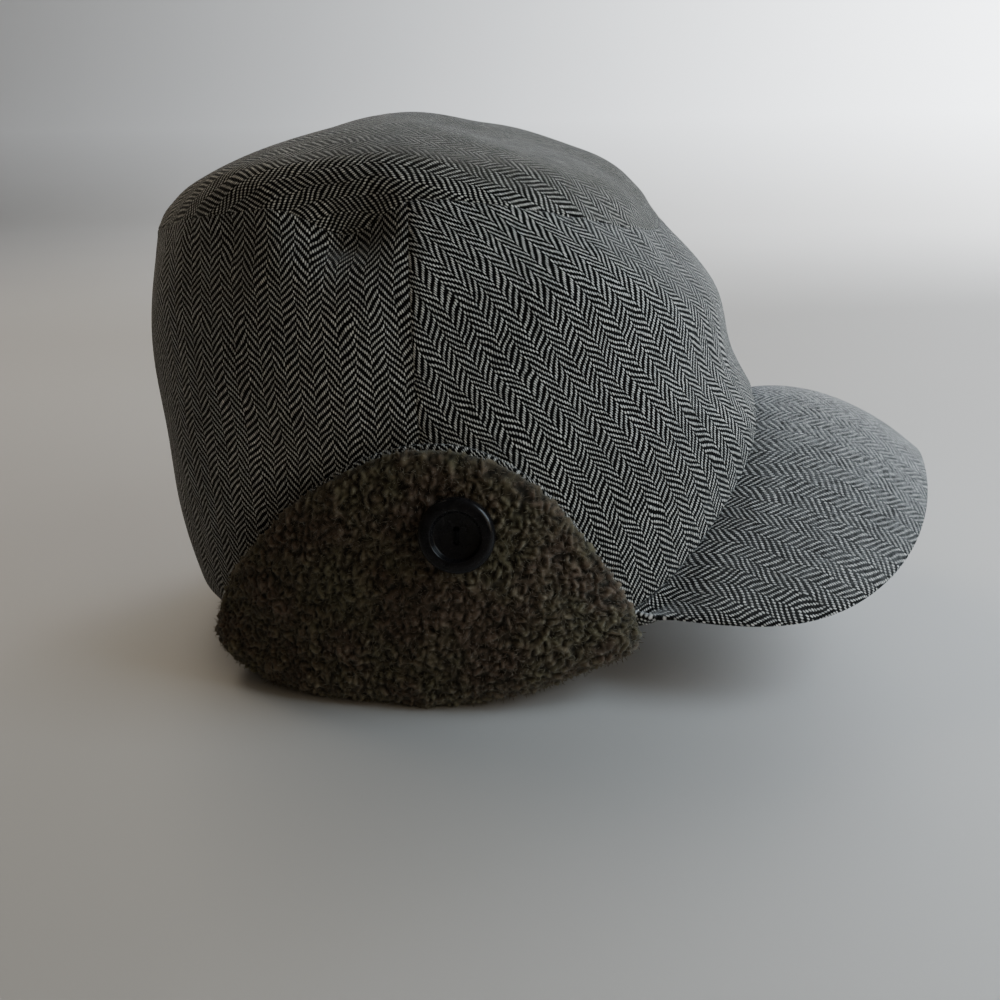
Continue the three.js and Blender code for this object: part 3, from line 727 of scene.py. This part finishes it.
flap = {
    "frontAngle": 54.4, "backAngle": 129.5, "archTopX": 17, "archTopZ": 87, "footFrontZ": 30,
    "footBackZ": 23, "archPowerFront": 2.35, "archPowerBack": 1.9, "foldBow": 8, "footLean": 4.6,
    "liningRise": 16, "liningShare": 0.16, "foldShare": 0.5, "flatFrontX": 12, "flatBackX": -42,
    "foldFrontZ": 17.2, "foldBackZ": 7.5, "flattening": 1.3,
    "fleece": 5.4, "facing": 1.5, "gap": 0.3, "gaugeZ": 40, "gaugeOut": 8,
}
bothSides = (("right", -1), ("left", 1))


# Places along the flap are told by their X, measured beside the wall at the gauge's place
def flapX(angle):
    return besideWall(angle, flap["gaugeZ"], flap["gaugeOut"])[..., 0]


flapFrontX, flapBackX = flapX(flap["frontAngle"]), flapX(flap["backAngle"])


# Lowest height of the fold: flat in the middle, rising by a power of 1.5 towards both ends
def foldZ(x):
    ahead = np.maximum(x - flap["flatFrontX"], 0) / (flapFrontX - flap["flatFrontX"])
    behind = np.maximum(flap["flatBackX"] - x, 0) / (flap["flatBackX"] - flapBackX)
    return -flap["flattening"] + flap["foldFrontZ"] * ahead ** 1.5 + flap["foldBackZ"] * behind ** 1.5


# Height of the flap's free edge: an arch that falls by a power to the front and to the back foot
def archZ(x):
    isFront = x > flap["archTopX"]
    endX = np.where(isFront, flapFrontX, flapBackX)
    share = np.clip((x - flap["archTopX"]) / (endX - flap["archTopX"]), 0, 1)
    foot = np.where(isFront, flap["footFrontZ"], flap["footBackZ"])
    power = np.where(isFront, flap["archPowerFront"], flap["archPowerBack"])
    return foot + (flap["archTopZ"] - foot) * (1 - share ** power)


# Middle line across the flap, out from the wall and up: down the lining inside the hem, round
# the fold as half an ellipse, and up the outside to the free edge
def flapPath(angle, s):
    x = flapX(angle)
    insideOut = -(crown["wall"] + flap["gap"] + flap["fleece"] / 2 + 0.2)
    topOut = flap["facing"] + 2 * flap["gap"] + flap["fleece"] / 2 + 0.2
    footOut = topOut + flap["footLean"]
    middleOut, halfOut = (insideOut + footOut) / 2, (footOut - insideOut) / 2
    foldTop = foldZ(x) + flap["fleece"] / 2 + flap["foldBow"]
    liningTop = hemZ(angle) + flap["liningRise"]
    edge = np.maximum(archZ(x), foldTop + 4)
    legEnd, foldEnd = flap["liningShare"], flap["foldShare"]
    turn = np.pi * np.clip((s - legEnd) / (foldEnd - legEnd), 0, 1)
    rise = np.clip((s - foldEnd) / (1 - foldEnd), 0, 1)
    out = np.where(s < legEnd, insideOut, middleOut - halfOut * np.cos(turn))
    out = np.where(s > foldEnd, footOut + (topOut - footOut) * rise ** 0.8, out)
    z = liningTop + (foldTop - liningTop) * s / legEnd
    z = np.where(s < legEnd, z, foldTop - flap["foldBow"] * np.sin(turn))
    return out, np.where(s > foldEnd, foldTop + (edge - foldTop) * rise, z)


# Point of a layer that follows the path, moved off it by offset; angles count from the front
def flapPoint(angle, s, side, offset):
    step = 0.004
    out, z = flapPath(angle, s)
    outBefore, zBefore = flapPath(angle, np.maximum(s - step, 0))
    outAfter, zAfter = flapPath(angle, np.minimum(s + step, 1))
    alongOut, alongZ = outAfter - outBefore, zAfter - zBefore
    offset = offset / np.hypot(alongOut, alongZ)
    return besideWall(side * angle, np.maximum(z - offset * alongOut, 0), out + offset * alongZ)


pile = {
    "columns": 320, "liningRows": 10, "rows": 165, "innerRows": 16, "endRound": 0.08, "edgeRound": 0.07,
    "sink": 0.35, "leastHalf": 0.15, "innerPush": 0.15, "liningPush": 0.35, "liningEnd": 0.13,
    "tuft": 1.65, "height": 1.35, "warp": 0.8, "warpSize": 5.0,
    "curl": 0.95, "curlHeight": 0.3, "curlWarp": 0.3, "curlWarpSize": 2.0, "waves": 0.5, "waveSize": 26,
    "fibres": 6300, "fibreLength": 1.9, "fibreRadius": 0.11, "liningFibres": 0.2,
}


# Soft mounds on jittered places in space: a sum of round bells over the nearest cells, and a tone
# that blends from cell to cell. Each cell's place and tone come from a hash of its three numbers.
def tuftMounds(points, size, seed):
    scaled = points / size
    base = np.floor(scaled).astype(np.int64)
    mound, tone, total = (np.full(points.shape[:-1], start) for start in (0.0, 0.0, 1e-6))
    for step in np.ndindex(3, 3, 3):
        cell = base + np.array(step) - 1
        x, y, z = np.moveaxis(cell, -1, 0)
        mixed = (x * 73856093 ^ y * 19349663 ^ z * 83492791 ^ seed * 2654435) % 100003
        chance = [np.sin(mixed * k) * 4375.85 % 1 for k in (0.127, 0.311, 0.743, 0.577)]
        centre = cell + 0.5 + (np.stack(chance[:3], -1) - 0.5) * 0.8
        bell = np.exp(-((np.linalg.norm(centre - scaled, axis=-1) / 0.46) ** 2))
        mound += bell * (0.6 + 0.6 * chance[3])
        tone += bell * chance[3]
        total += bell
    return np.minimum(mound, 1.3), tone / total


# Points moved about by soft waves, so that the tufts stand in no order
def warpedPoints(points, size, amount, seed):
    return points + np.stack([softWaves(points, size, seed + k, 9) for k in range(3)], -1) * amount


# Fibres: thin curved spindles of two three-sided rings between pointed ends, rooted in the pile
def fibreShapes(roots, normals, seed):
    rng = np.random.default_rng(seed)
    count = len(roots)
    length = pile["fibreLength"] * rng.uniform(0.55, 1.3, (count, 1))
    aside = unit(np.cross(normals, rng.normal(size=(count, 3))))
    lean = unit(normals * rng.uniform(0.35, 1.0, (count, 1)) + aside * rng.uniform(0.3, 1.0, (count, 1)))
    curlSide = unit(np.cross(lean, rng.normal(size=(count, 3)))) - normals * 0.35
    third = unit(np.cross(lean, curlSide))
    second = np.cross(third, lean)
    rings = [roots - normals * 0.3]
    for along, bend, share in ((0.35, 0.05, 1.0), (0.75, 0.3, 0.8)):
        centre = roots + lean * length * along + curlSide * length * bend
        for turn in (0, 2 * np.pi / 3, 4 * np.pi / 3):
            ring = second * np.cos(turn) + third * np.sin(turn)
            rings.append(centre + ring * pile["fibreRadius"] * share * rng.uniform(0.8, 1.2, (count, 1)))
    rings.append(roots + lean * length * 0.95 + curlSide * length * 0.62)
    pattern = np.array([[0, 2, 1], [0, 3, 2], [0, 1, 3], [1, 2, 5], [1, 5, 4], [2, 3, 6], [2, 6, 5],
                        [3, 1, 4], [3, 4, 6], [4, 5, 7], [5, 6, 7], [6, 4, 7]])
    faces = (pattern[None] + 8 * np.arange(count)[:, None, None]).reshape(-1, 3)
    return np.stack(rings, 1).reshape(-1, 3), faces


# Fibres on points drawn by weight, with their roots shifted a little along and across the flap,
# and the tone of each
def standingFibres(points, normals, along, across, weight, tone, side):
    rng = np.random.default_rng(600 + side)
    chosen = rng.choice(weight.size, pile["fibres"], p=weight / weight.sum())
    roots = points[chosen] + along[chosen] * rng.uniform(-0.5, 0.5, (pile["fibres"], 1))
    roots += across[chosen] * rng.uniform(-0.25, 0.25, (pile["fibres"], 1))
    fibres, faces = fibreShapes(roots, normals[chosen], 610 + side)
    fibres[:, 2] = np.maximum(fibres[:, 2], 0.05)
    fibreTone = tone[chosen] * 0.6 + rng.uniform(0, 0.4, pile["fibres"])
    return fibres, faces, np.repeat(fibreTone, 8)


# Fleece: a closed loop across the flap, first its outer and then its inner side, carried along
# the hem. Its surface is pushed out by soft tufts, smaller curls and slow waves.
def fleecePiece(word, side):
    u = np.linspace(0, 1, pile["columns"])
    u = u - 0.012 * np.sin(2 * np.pi * u)
    lining = np.linspace(0, flap["liningShare"], pile["liningRows"])[:-1]
    sOuter = np.concatenate([lining, np.linspace(flap["liningShare"], 1, pile["rows"])])
    s = np.concatenate([sOuter, np.linspace(1, 0, pile["innerRows"])])
    isOuter = np.arange(len(s)) < len(sOuter)
    face = np.where(isOuter, 1, -1)
    angle = flap["backAngle"] + (flap["frontAngle"] - flap["backAngle"]) * u
    angles, rows = np.meshgrid(angle, s, indexing="ij")
    endShare = roundEdge(1 - np.abs(2 * u - 1), pile["endRound"])[:, None]
    thickness = flap["fleece"] * endShare * roundEdge(1 - np.abs(2 * s - 1), pile["edgeRound"])
    half = np.maximum(thickness / 2 - pile["sink"], pile["leastHalf"])
    base = flapPoint(angles, rows, side, face * half)
    along = np.gradient(base, axis=0)
    across = np.roll(base, -1, 1) - np.roll(base, 1, 1)
    crossing = np.cross(along, across)
    normal = unit(crossing) * side
    outwards = flapPoint(angles, rows, side, face * (half + 0.5)) - base
    normal *= np.sign(dot(normal, outwards, True) + 1e-9)
    mound, tone = tuftMounds(warpedPoints(base, pile["warpSize"], pile["warp"], 40), pile["tuft"], 3)
    curl, _ = tuftMounds(warpedPoints(base, pile["curlWarpSize"], pile["curlWarp"], 50), pile["curl"], 8)
    push = mound * pile["height"] + curl * pile["curlHeight"] - 0.2
    push += softWaves(base, pile["waveSize"], 77) * pile["waves"]
    push *= np.where(rows < pile["liningEnd"], pile["liningPush"], 1)
    push *= np.where(isOuter, 1, pile["innerPush"])
    points = base + normal * push[..., None]
    points[..., 2] = np.maximum(points[..., 2], 0)
    weight = np.linalg.norm(crossing, axis=-1) * isOuter * (points[..., 2] > 0.8)
    weight *= np.where(rows < flap["liningShare"], pile["liningFibres"], 1)
    grids = [grid.reshape(-1, 3) for grid in (points, normal, along, across)]
    fibres, fibreFaces, fibreTone = standingFibres(*grids, weight.ravel(), tone.ravel(), side)
    # painted shade: how low a point lies among the tufts, and how near a fibre's root it is, sets how much
    # of the dark colour it gets
    depth = np.clip(mound * 0.7 + curl * 0.3, 0, 1).ravel()
    fibreDepth = np.tile([0.4, 0.7, 0.7, 0.7, 0.9, 0.9, 0.9, 1.0], pile["fibres"])
    values = {"curl": np.concatenate([depth, fibreDepth]),
              "tuftTone": np.concatenate([tone.ravel(), fibreTone])}
    faces = loopFaces(pile["columns"], len(sOuter), pile["innerRows"])
    mesh = newMesh(word + "Fleece", points, faces, None, (fibres, fibreFaces), values)
    newPiece(word + "Fleece", mesh, fleece, "flap_fleece_" + word)


# deep is painted shade, for the low places between the tufts and the roots of the fibres
pileLook = {
    "deep": (0.013, 0.010, 0.007), "body": (0.150, 0.136, 0.082), "brown": (0.136, 0.094, 0.068),
    "pale": (0.30, 0.275, 0.205), "relief": 0.0004,
}


# Pile: painted shade, nearly black, between the tufts and at the roots of the fibres; body colour on them,
# paler flecks at the tips and fine hairs
def fleeceMaterial():
    material, tree, shader = blankMaterial(
        "fleecePile", Roughness=0.95, Sheen_Weight=0.5, Sheen_Roughness=0.45,
        Sheen_Tint=(0.72, 0.72, 0.64), Specular_IOR_Level=0.12)
    curl = newNode(tree, "Attribute", {}, attribute_name="curl")["Fac"]
    tone = newNode(tree, "Attribute", {}, attribute_name="tuftTone")["Fac"]
    where = newNode(tree, "TexCoord", {})["Object"]
    hairs = noise(tree, where, 2300, 4, 0.65, 2.2)
    flecks = mapRange(tree, noise(tree, where, 560, 2, 0.6, 0.6), 0.5, 0.7, 0.0, 0.75)
    slow = mapRange(tree, noise(tree, where, 60, 3, 0.6), 0.4, 0.62, 0.0, 1.0)
    body = mixColour(tree, slow, pileLook["brown"], pileLook["body"])
    tipped = maths(tree, "MULTIPLY", flecks, mapRange(tree, curl, 0.55, 0.95, 0.0, 1.0))
    tipped = maths(tree, "MULTIPLY", tipped, mapRange(tree, tone, 0.35, 0.75, 0.25, 1.0))
    flecked = mixColour(tree, tipped, body, pileLook["pale"])
    tips = mixColour(tree, mapRange(tree, hairs, 0.55, 0.78, 0.0, 0.4), flecked, pileLook["pale"])
    # painted shade: the deep colour fills the low places between the tufts
    depth = mapRange(tree, curl, 0.2, 0.85, 0.0, 1.0)
    feed(tree, shader["Base Color"], mixColour(tree, depth, pileLook["deep"], tips))
    bump(tree, shader, hairs, pileLook["relief"], 0.8)
    return material


fleece = fleeceMaterial()
for word, side in bothSides:
    fleecePiece(word, side)
print("fleece ready")

facing = {
    "margin": 2.2, "start": 0.56, "step": 2.2, "length": 150, "height": 75, "show": 1.3, "edgeRound": 0.75,
}


# Tweed side of the flap, against the crown, with its top edge just above the fleece
def facingPiece(word, side):
    u = edgeSpacing(facing["length"], facing["step"])
    v = edgeSpacing(facing["height"], facing["step"], False, True)
    u, v = np.meshgrid(u, v, indexing="ij")
    back, front = flap["backAngle"] - facing["margin"], flap["frontAngle"] + facing["margin"]
    s = facing["start"] + (1 - facing["start"]) * v
    inset = flap["fleece"] / 2 + flap["gap"] + flap["facing"] / 2
    half = flap["facing"] / 2 * roundEdge((1 - v) * 45, facing["edgeRound"])
    angle = back + (front - back) * u
    outer, inner = (flapPoint(angle, s, side, face * half - inset) for face in (1, -1))
    for layer in (outer, inner):
        layer[..., 2] += facing["show"] * np.clip((v - 0.9) / 0.1, 0, 1)
    height = lengthsAlong(outer, 1)
    weaveMap = np.stack([lengthsAlong(outer), height - height[:, -1:]], -1)
    clothPiece(word + "Facing", "flap_cloth_" + word, tweed, outer, inner, weaveMap)


for word, side in bothSides:
    facingPiece(word, side)
print("flaps ready")

# Button, buttonhole and thread

button = {
    "angle": 80.5, "centreZ": 63, "radius": 11.75, "thickness": 4.4, "dishRadius": 7.2, "dishDepth": 1.7,
    "footRound": 1.3, "rimRound": 1.9, "holeRadius": 0.95, "holeSpacing": 4, "tilt": 9,
    "standOff": 1.9, "segments": 96,
}
slot = {
    "width": 4.6, "bottomZ": 47.8, "topZ": 73.5, "wall": 1.1, "fit": 0.3, "proud": 0.7, "stitches": 74,
}
# How far the face of the fleece stands out from the wall under the button
fleeceFaceOut = flap["facing"] + 2 * flap["gap"] + flap["fleece"] + 0.2 + flap["footLean"] * 0.35


# Places given along the wall, up and out of the flap, in the frame of the button's middle, tilted
# about the line along the wall
def buttonPlace(local, side, out, z, tilt):
    angle = side * button["angle"]
    normal = unit(crownNormal(angle, levelAtZ(angle, button["centreZ"])) * [1, 1, 0])
    up = np.array([0.0, 0.0, 1.0])
    along = np.cross(up, normal)
    origin = besideWall(angle, button["centreZ"], 0) + normal * out
    origin[2] = z
    c, s = math.cos(math.radians(tilt)), math.sin(math.radians(tilt))
    x, y, h = np.moveaxis(local, -1, 0)
    y, h = y * c + h * s, h * c - y * s
    return origin + x[..., None] * along + y[..., None] * up + h[..., None] * normal


# Puts the result of a piece's modifiers into its mesh
def applyModifiers(piece):
    bpy.context.view_layer.update()
    graph = bpy.context.evaluated_depsgraph_get()
    result = bpy.data.meshes.new_from_object(piece.evaluated_get(graph))
    old = piece.data
    piece.modifiers.clear()
    piece.data = result
    result.name = old.name
    bpy.data.meshes.remove(old)


# Button: a profile turned round its axis, with the holes cut through by round pins
def buttonPiece(word, side):
    def place(local):
        out = fleeceFaceOut + button["standOff"]
        return buttonPlace(local, side, out, button["centreZ"], button["tilt"])

    name = word + "Button"
    t, r = button["thickness"], button["radius"]
    foot, top = button["footRound"], button["rimRound"]
    rim = np.linspace(0, np.pi / 2, 9)
    dish = np.linspace(0, np.pi, 12)
    inner, depth = button["dishRadius"], button["dishDepth"]
    profile = np.concatenate([
        [[0.02, 0], [3, 0], [6, 0], [9, 0]],
        np.stack([r - foot + foot * np.sin(rim), foot - foot * np.cos(rim)], -1),
        np.stack([r - top + top * np.cos(rim), t - top + top * np.sin(rim)], -1),
        [[inner + 2.0, t + 0.02]],
        np.stack([inner + 0.9 - 1.2 * dish / np.pi, t - depth * (1 - np.cos(dish)) / 2], -1),
        [[4.2, t - depth - 0.05], [2, t - depth - 0.14], [0.02, t - depth - 0.17]],
    ])
    turn = np.linspace(0, 2 * np.pi, button["segments"], endpoint=False)[:, None]
    radius, height = profile.T
    points = place(np.stack([radius * np.cos(turn), radius * np.sin(turn), height + 0 * turn], -1))
    total = points[..., 0].size
    ids = np.arange(total).reshape(points.shape[:2])
    faces = [bandFaces(ids, np.roll(ids, -1, 0), False), fanFaces(ids[::-1, 0], total),
             fanFaces(ids[:, -1], total + 1)]
    ends = points[:, [0, -1]].mean(0)
    mesh = newMesh(name, np.concatenate([points.reshape(-1, 3), ends]), faces)
    piece = newPiece(name, mesh, horn, "button_" + word)
    around = np.linspace(0, 2 * np.pi, 24, endpoint=False)[:, None]
    pin = np.arange(48).reshape(24, 2)
    pinFaces = [bandFaces(pin, np.roll(pin, -1, 0), False), pin[None, ::-1, 0], pin[None, :, 1]]
    for middleY in (button["holeSpacing"] / 2, -button["holeSpacing"] / 2):
        x, y = button["holeRadius"] * np.cos(around), middleY + button["holeRadius"] * np.sin(around)
        ends = place(np.stack(np.broadcast_arrays(x, y, [-3, 9]), -1))
        cutter = bpy.data.objects.new("hole", newMesh("hole", ends, pinFaces))
        scene.collection.objects.link(cutter)
        boolean = piece.modifiers.new("hole", "BOOLEAN")
        boolean.operation = "DIFFERENCE"
        boolean.solver = "EXACT"
        boolean.object = cutter
        applyModifiers(piece)
        bpy.data.objects.remove(cutter)
    piece.data.set_sharp_from_angle(angle=math.radians(50))


# Buttonhole: a stadium line round the slot with an oval section whose size swells at each stitch
def buttonholePiece(word, side):
    wall = slot["wall"]
    radius = (slot["width"] - 2 * slot["fit"] - wall) / 2
    reach = (slot["topZ"] - slot["bottomZ"] - 2 * slot["fit"] - wall) / 2 - radius
    bend = np.pi * radius
    length = 4 * reach + 2 * bend
    along = np.linspace(0, length, slot["stitches"] * 6, endpoint=False)
    turn = (np.clip(along, 0, bend) + np.clip(along - bend - 2 * reach, 0, bend)) / radius
    down = np.clip(along - bend, 0, 2 * reach)
    climb = np.clip(along - 2 * bend - 2 * reach, 0, 2 * reach)
    c, s = np.cos(turn), np.sin(turn)
    ripple = np.abs(np.sin(np.pi * slot["stitches"] * along / length))[:, None] ** 0.7
    section = np.linspace(0, 2 * np.pi, 20, endpoint=False)
    cs, ss = np.cos(section), np.sin(section)
    depth = flap["facing"] + flap["gap"] + flap["fleece"] + slot["proud"]
    wide = np.sign(cs) * np.abs(cs) ** 0.6 * wall / 2 * (0.72 + 0.28 * ripple)
    deep = np.sign(ss) * np.abs(ss) ** 0.35 * depth / 2 * (0.95 + 0.05 * ripple)
    x = c[:, None] * (radius + wide)
    y = (radius * s + reach - down + climb)[:, None] + s[:, None] * wide
    local = np.stack([x, y, deep + depth / 2], -1)
    points = buttonPlace(local, side, 1.4, (slot["topZ"] + slot["bottomZ"]) / 2, 0)
    ids = np.arange(points[..., 0].size).reshape(points.shape[:2])
    mesh = newMesh(word + "Buttonhole", points, [bandFaces(ids, np.roll(ids, -1, 0))])
    newPiece(word + "Buttonhole", mesh, thread, "buttonhole_" + word)


strand = {"count": 3, "spacing": 0.42, "radius": 0.24, "endRadius": 0.02, "rings": 60, "around": 8}


# Thread: three strands up one hole, over the dish and down the other. Each is a tube, a circle
# carried along its line, nearly closed at both ends.
def threadPiece(word, side):
    reach = fleeceFaceOut + button["standOff"]
    floor = reach + button["thickness"] - button["dishDepth"] - 0.15
    half = button["holeSpacing"] / 2 - 0.15
    t = np.linspace(0, 1, strand["rings"])
    turn = np.pi * np.clip((t - 0.4) / 0.2, 0, 1)
    out = np.where(t < 0.4, 0.6 + (floor - 0.3) * t / 0.4, floor + 0.3 + 0.35 * np.sin(turn))
    out = np.where(t > 0.6, floor + 0.3 - (floor - 0.3) * (t - 0.6) / 0.4, out)
    pinch = np.clip(out / floor, 0, 1) ** 1.5
    around = np.linspace(0, 2 * np.pi, strand["around"], endpoint=False)[None, :, None]
    radius = np.full((strand["rings"], 1, 1), strand["radius"])
    radius[[0, -1]] = strand["endRadius"]
    size = strand["rings"] * strand["around"]
    tubes, faces = [], []
    for k in range(strand["count"]):
        offset = (k - (strand["count"] - 1) / 2) * strand["spacing"]
        path = np.stack([offset * (0.5 + 0.5 * pinch), half * np.cos(turn) * pinch, out], -1)
        tangent = unit(np.gradient(path, axis=0))
        first = unit(np.cross(tangent, [1.0, 0.0, 0.0]))
        second = np.cross(tangent, first)
        ring = np.cos(around) * first[:, None] + np.sin(around) * second[:, None]
        tubes.append((path[:, None] + ring * radius).reshape(-1, 3))
        ids = np.arange(size).reshape(strand["rings"], -1) + size * k
        faces += [bandFaces(ids[:-1], ids[1:]), ids[:1, ::-1], ids[-1:]]
    points = buttonPlace(np.concatenate(tubes), side, 0, button["centreZ"], 0)
    mesh = newMesh(word + "ButtonThread", points, faces)
    newPiece(word + "ButtonThread", mesh, thread, "button_thread_" + word)


# Button: near-black polished plastic with faint clouds and fine scratches in its gloss
def hornMaterial():
    material, tree, shader = blankMaterial(
        "hornButton", Specular_IOR_Level=0.18, Coat_Weight=0.08, Coat_Roughness=0.05)
    where = newNode(tree, "TexCoord", {})["Object"]
    cloud = mapRange(tree, noise(tree, where, 190, 3, 0.6, 1.0), 0.35, 0.7, 0.0, 1.0)
    feed(tree, shader["Base Color"], mixColour(tree, cloud, (0.004, 0.004, 0.005), (0.012, 0.011, 0.012)))
    grain = noise(tree, where, 1900, 4, 0.7, 0.4)
    feed(tree, shader["Roughness"], mapRange(tree, grain, 0.3, 0.75, 0.16, 0.34))
    bump(tree, shader, grain, 0.00003, 0.5)
    return material


# Dark sewing thread: two plies twisted, seen as slanting bands
def threadMaterial():
    material, tree, shader = blankMaterial("darkThread", Roughness=0.8, Specular_IOR_Level=0.1)
    where = newNode(tree, "TexCoord", {})["Object"]
    values = {"Vector": where, "Scale": 700, "Distortion": 1.0}
    band = newNode(tree, "TexWave", values, bands_direction="DIAGONAL")["Fac"]
    plies = mixColour(tree, band, (0.0015, 0.0015, 0.0015), (0.006, 0.006, 0.0055))
    feed(tree, shader["Base Color"], plies)
    bump(tree, shader, band, 0.0001, 0.8)
    return material


horn = hornMaterial()
thread = threadMaterial()
for word, side in bothSides:
    buttonPiece(word, side)
    buttonholePiece(word, side)
    threadPiece(word, side)
print("buttons ready")

# Floor, light and camera

stage = {
    "floorZ": -0.0003, "backY": 1.15, "bend": 0.5, "width": 4.2, "columns": 9, "front": -2.2,
    "height": 2.2,
}


# Floor that bends up into the backdrop through a quarter circle
def stagePiece():
    turn = np.linspace(0, np.pi / 2, 24)
    bend, back = stage["bend"], stage["backY"]
    y = np.concatenate([[stage["front"]], back + bend * np.sin(turn), [back + bend]])
    z = np.concatenate([[0], bend - bend * np.cos(turn), [stage["height"]]]) + stage["floorZ"]
    x = np.linspace(-0.5, 0.5, stage["columns"])[:, None] * stage["width"]
    points = np.stack(np.broadcast_arrays(x, y, z), -1)
    ids = np.arange(points[..., 0].size).reshape(points.shape[:2])
    mesh = bpy.data.meshes.new("stage")
    mesh.from_pydata(points.reshape(-1, 3).tolist(), [], bandFaces(ids[:-1], ids[1:], False).tolist())
    mesh.shade_smooth()
    piece = bpy.data.objects.new("stage", mesh)
    scene.collection.objects.link(piece)
    material, tree, shader = blankMaterial("paleFloor", Roughness=0.6)
    where = newNode(tree, "TexCoord", {})["Object"]
    height = newNode(tree, "SeparateXYZ", {0: where})[2]
    floor = mixColour(tree, noise(tree, where, 3, 3, 0.5), (0.43, 0.42, 0.41), (0.49, 0.48, 0.47))
    blend = mapRange(tree, height, 0.0, 0.12, 0.0, 1.0)
    feed(tree, shader["Base Color"], mixColour(tree, blend, floor, (0.84, 0.85, 0.87)))
    mesh.materials.append(material)


stagePiece()

lights = [
    # name, position, target, size, power, colour
    ("rightFill", (0.8, -0.5, 0.4), (0, 0, 0.08), 0.6, 1.6, (1.0, 0.87, 0.63)),
    ("leftTop", (-0.55, 0.45, 0.85), (0, 0, 0.1), 0.6, 4.3, (1.0, 0.89, 0.72)),
    ("wallWash", (0.95, 1.0, 0.8), (0.8, 1.65, 0.6), 0.7, 70, (0.93, 0.97, 1.0)),
    ("aheadNear", (0.40, -0.10, 0.32), (0.12, 0.0, 0.03), 0.25, 1.5, (0.72, 0.87, 1.0)),
    ("aheadTop", (0.62, 0.0, 0.75), (0.15, 0, 0.06), 0.4, 0.7, (0.80, 0.92, 1.0)),
]
for name, position, target, size, power, colour in lights:
    lamp = bpy.data.lights.new(name, "AREA")
    lamp.size, lamp.energy, lamp.color = size, power, colour
    holder = bpy.data.objects.new(name, lamp)
    scene.collection.objects.link(holder)
    holder.location = position
    holder.visible_camera = False
    aim = Vector(target) - Vector(position)
    holder.rotation_euler = aim.to_track_quat("-Z", "Y").to_euler()

room = {"colour": (1.0, 0.83, 0.62), "strength": 0.085}
scene.world = bpy.data.worlds.new("softRoom")
scene.world.use_nodes = True
background = scene.world.node_tree.nodes["Background"].inputs
background["Color"].default_value = (*room["colour"], 1)
background["Strength"].default_value = room["strength"]

camera = {
    "azimuth": 10.7, "elevation": 20.4, "roll": -1.7, "distance": 440, "lens": 41.4, "aim": (21, 0, 39.5),
}


# Camera on a sphere round its aim, rolled a little about its own axis
def placeCamera():
    a, e, r = (math.radians(camera[key]) for key in ("azimuth", "elevation", "roll"))
    back = np.array([math.sin(a) * math.cos(e), -math.cos(a) * math.cos(e), math.sin(e)])
    right = np.array([math.cos(a), math.sin(a), 0])
    up = np.cross(back, right)
    rolledRight = right * math.cos(r) + up * math.sin(r)
    rolledUp = up * math.cos(r) - right * math.sin(r)
    place = (np.array(camera["aim"]) + back * camera["distance"] + [shiftX, 0, 0]) * 0.001
    data = bpy.data.cameras.new("photoCamera")
    data.lens = camera["lens"]
    data.sensor_width = 36
    data.clip_start = 0.02
    holder = bpy.data.objects.new("photoCamera", data)
    scene.collection.objects.link(holder)
    rows = [[rolledRight[k], rolledUp[k], back[k], place[k]] for k in range(3)]
    holder.matrix_world = Matrix(rows + [[0, 0, 0, 1]])
    scene.camera = holder


placeCamera()
print("stage ready")
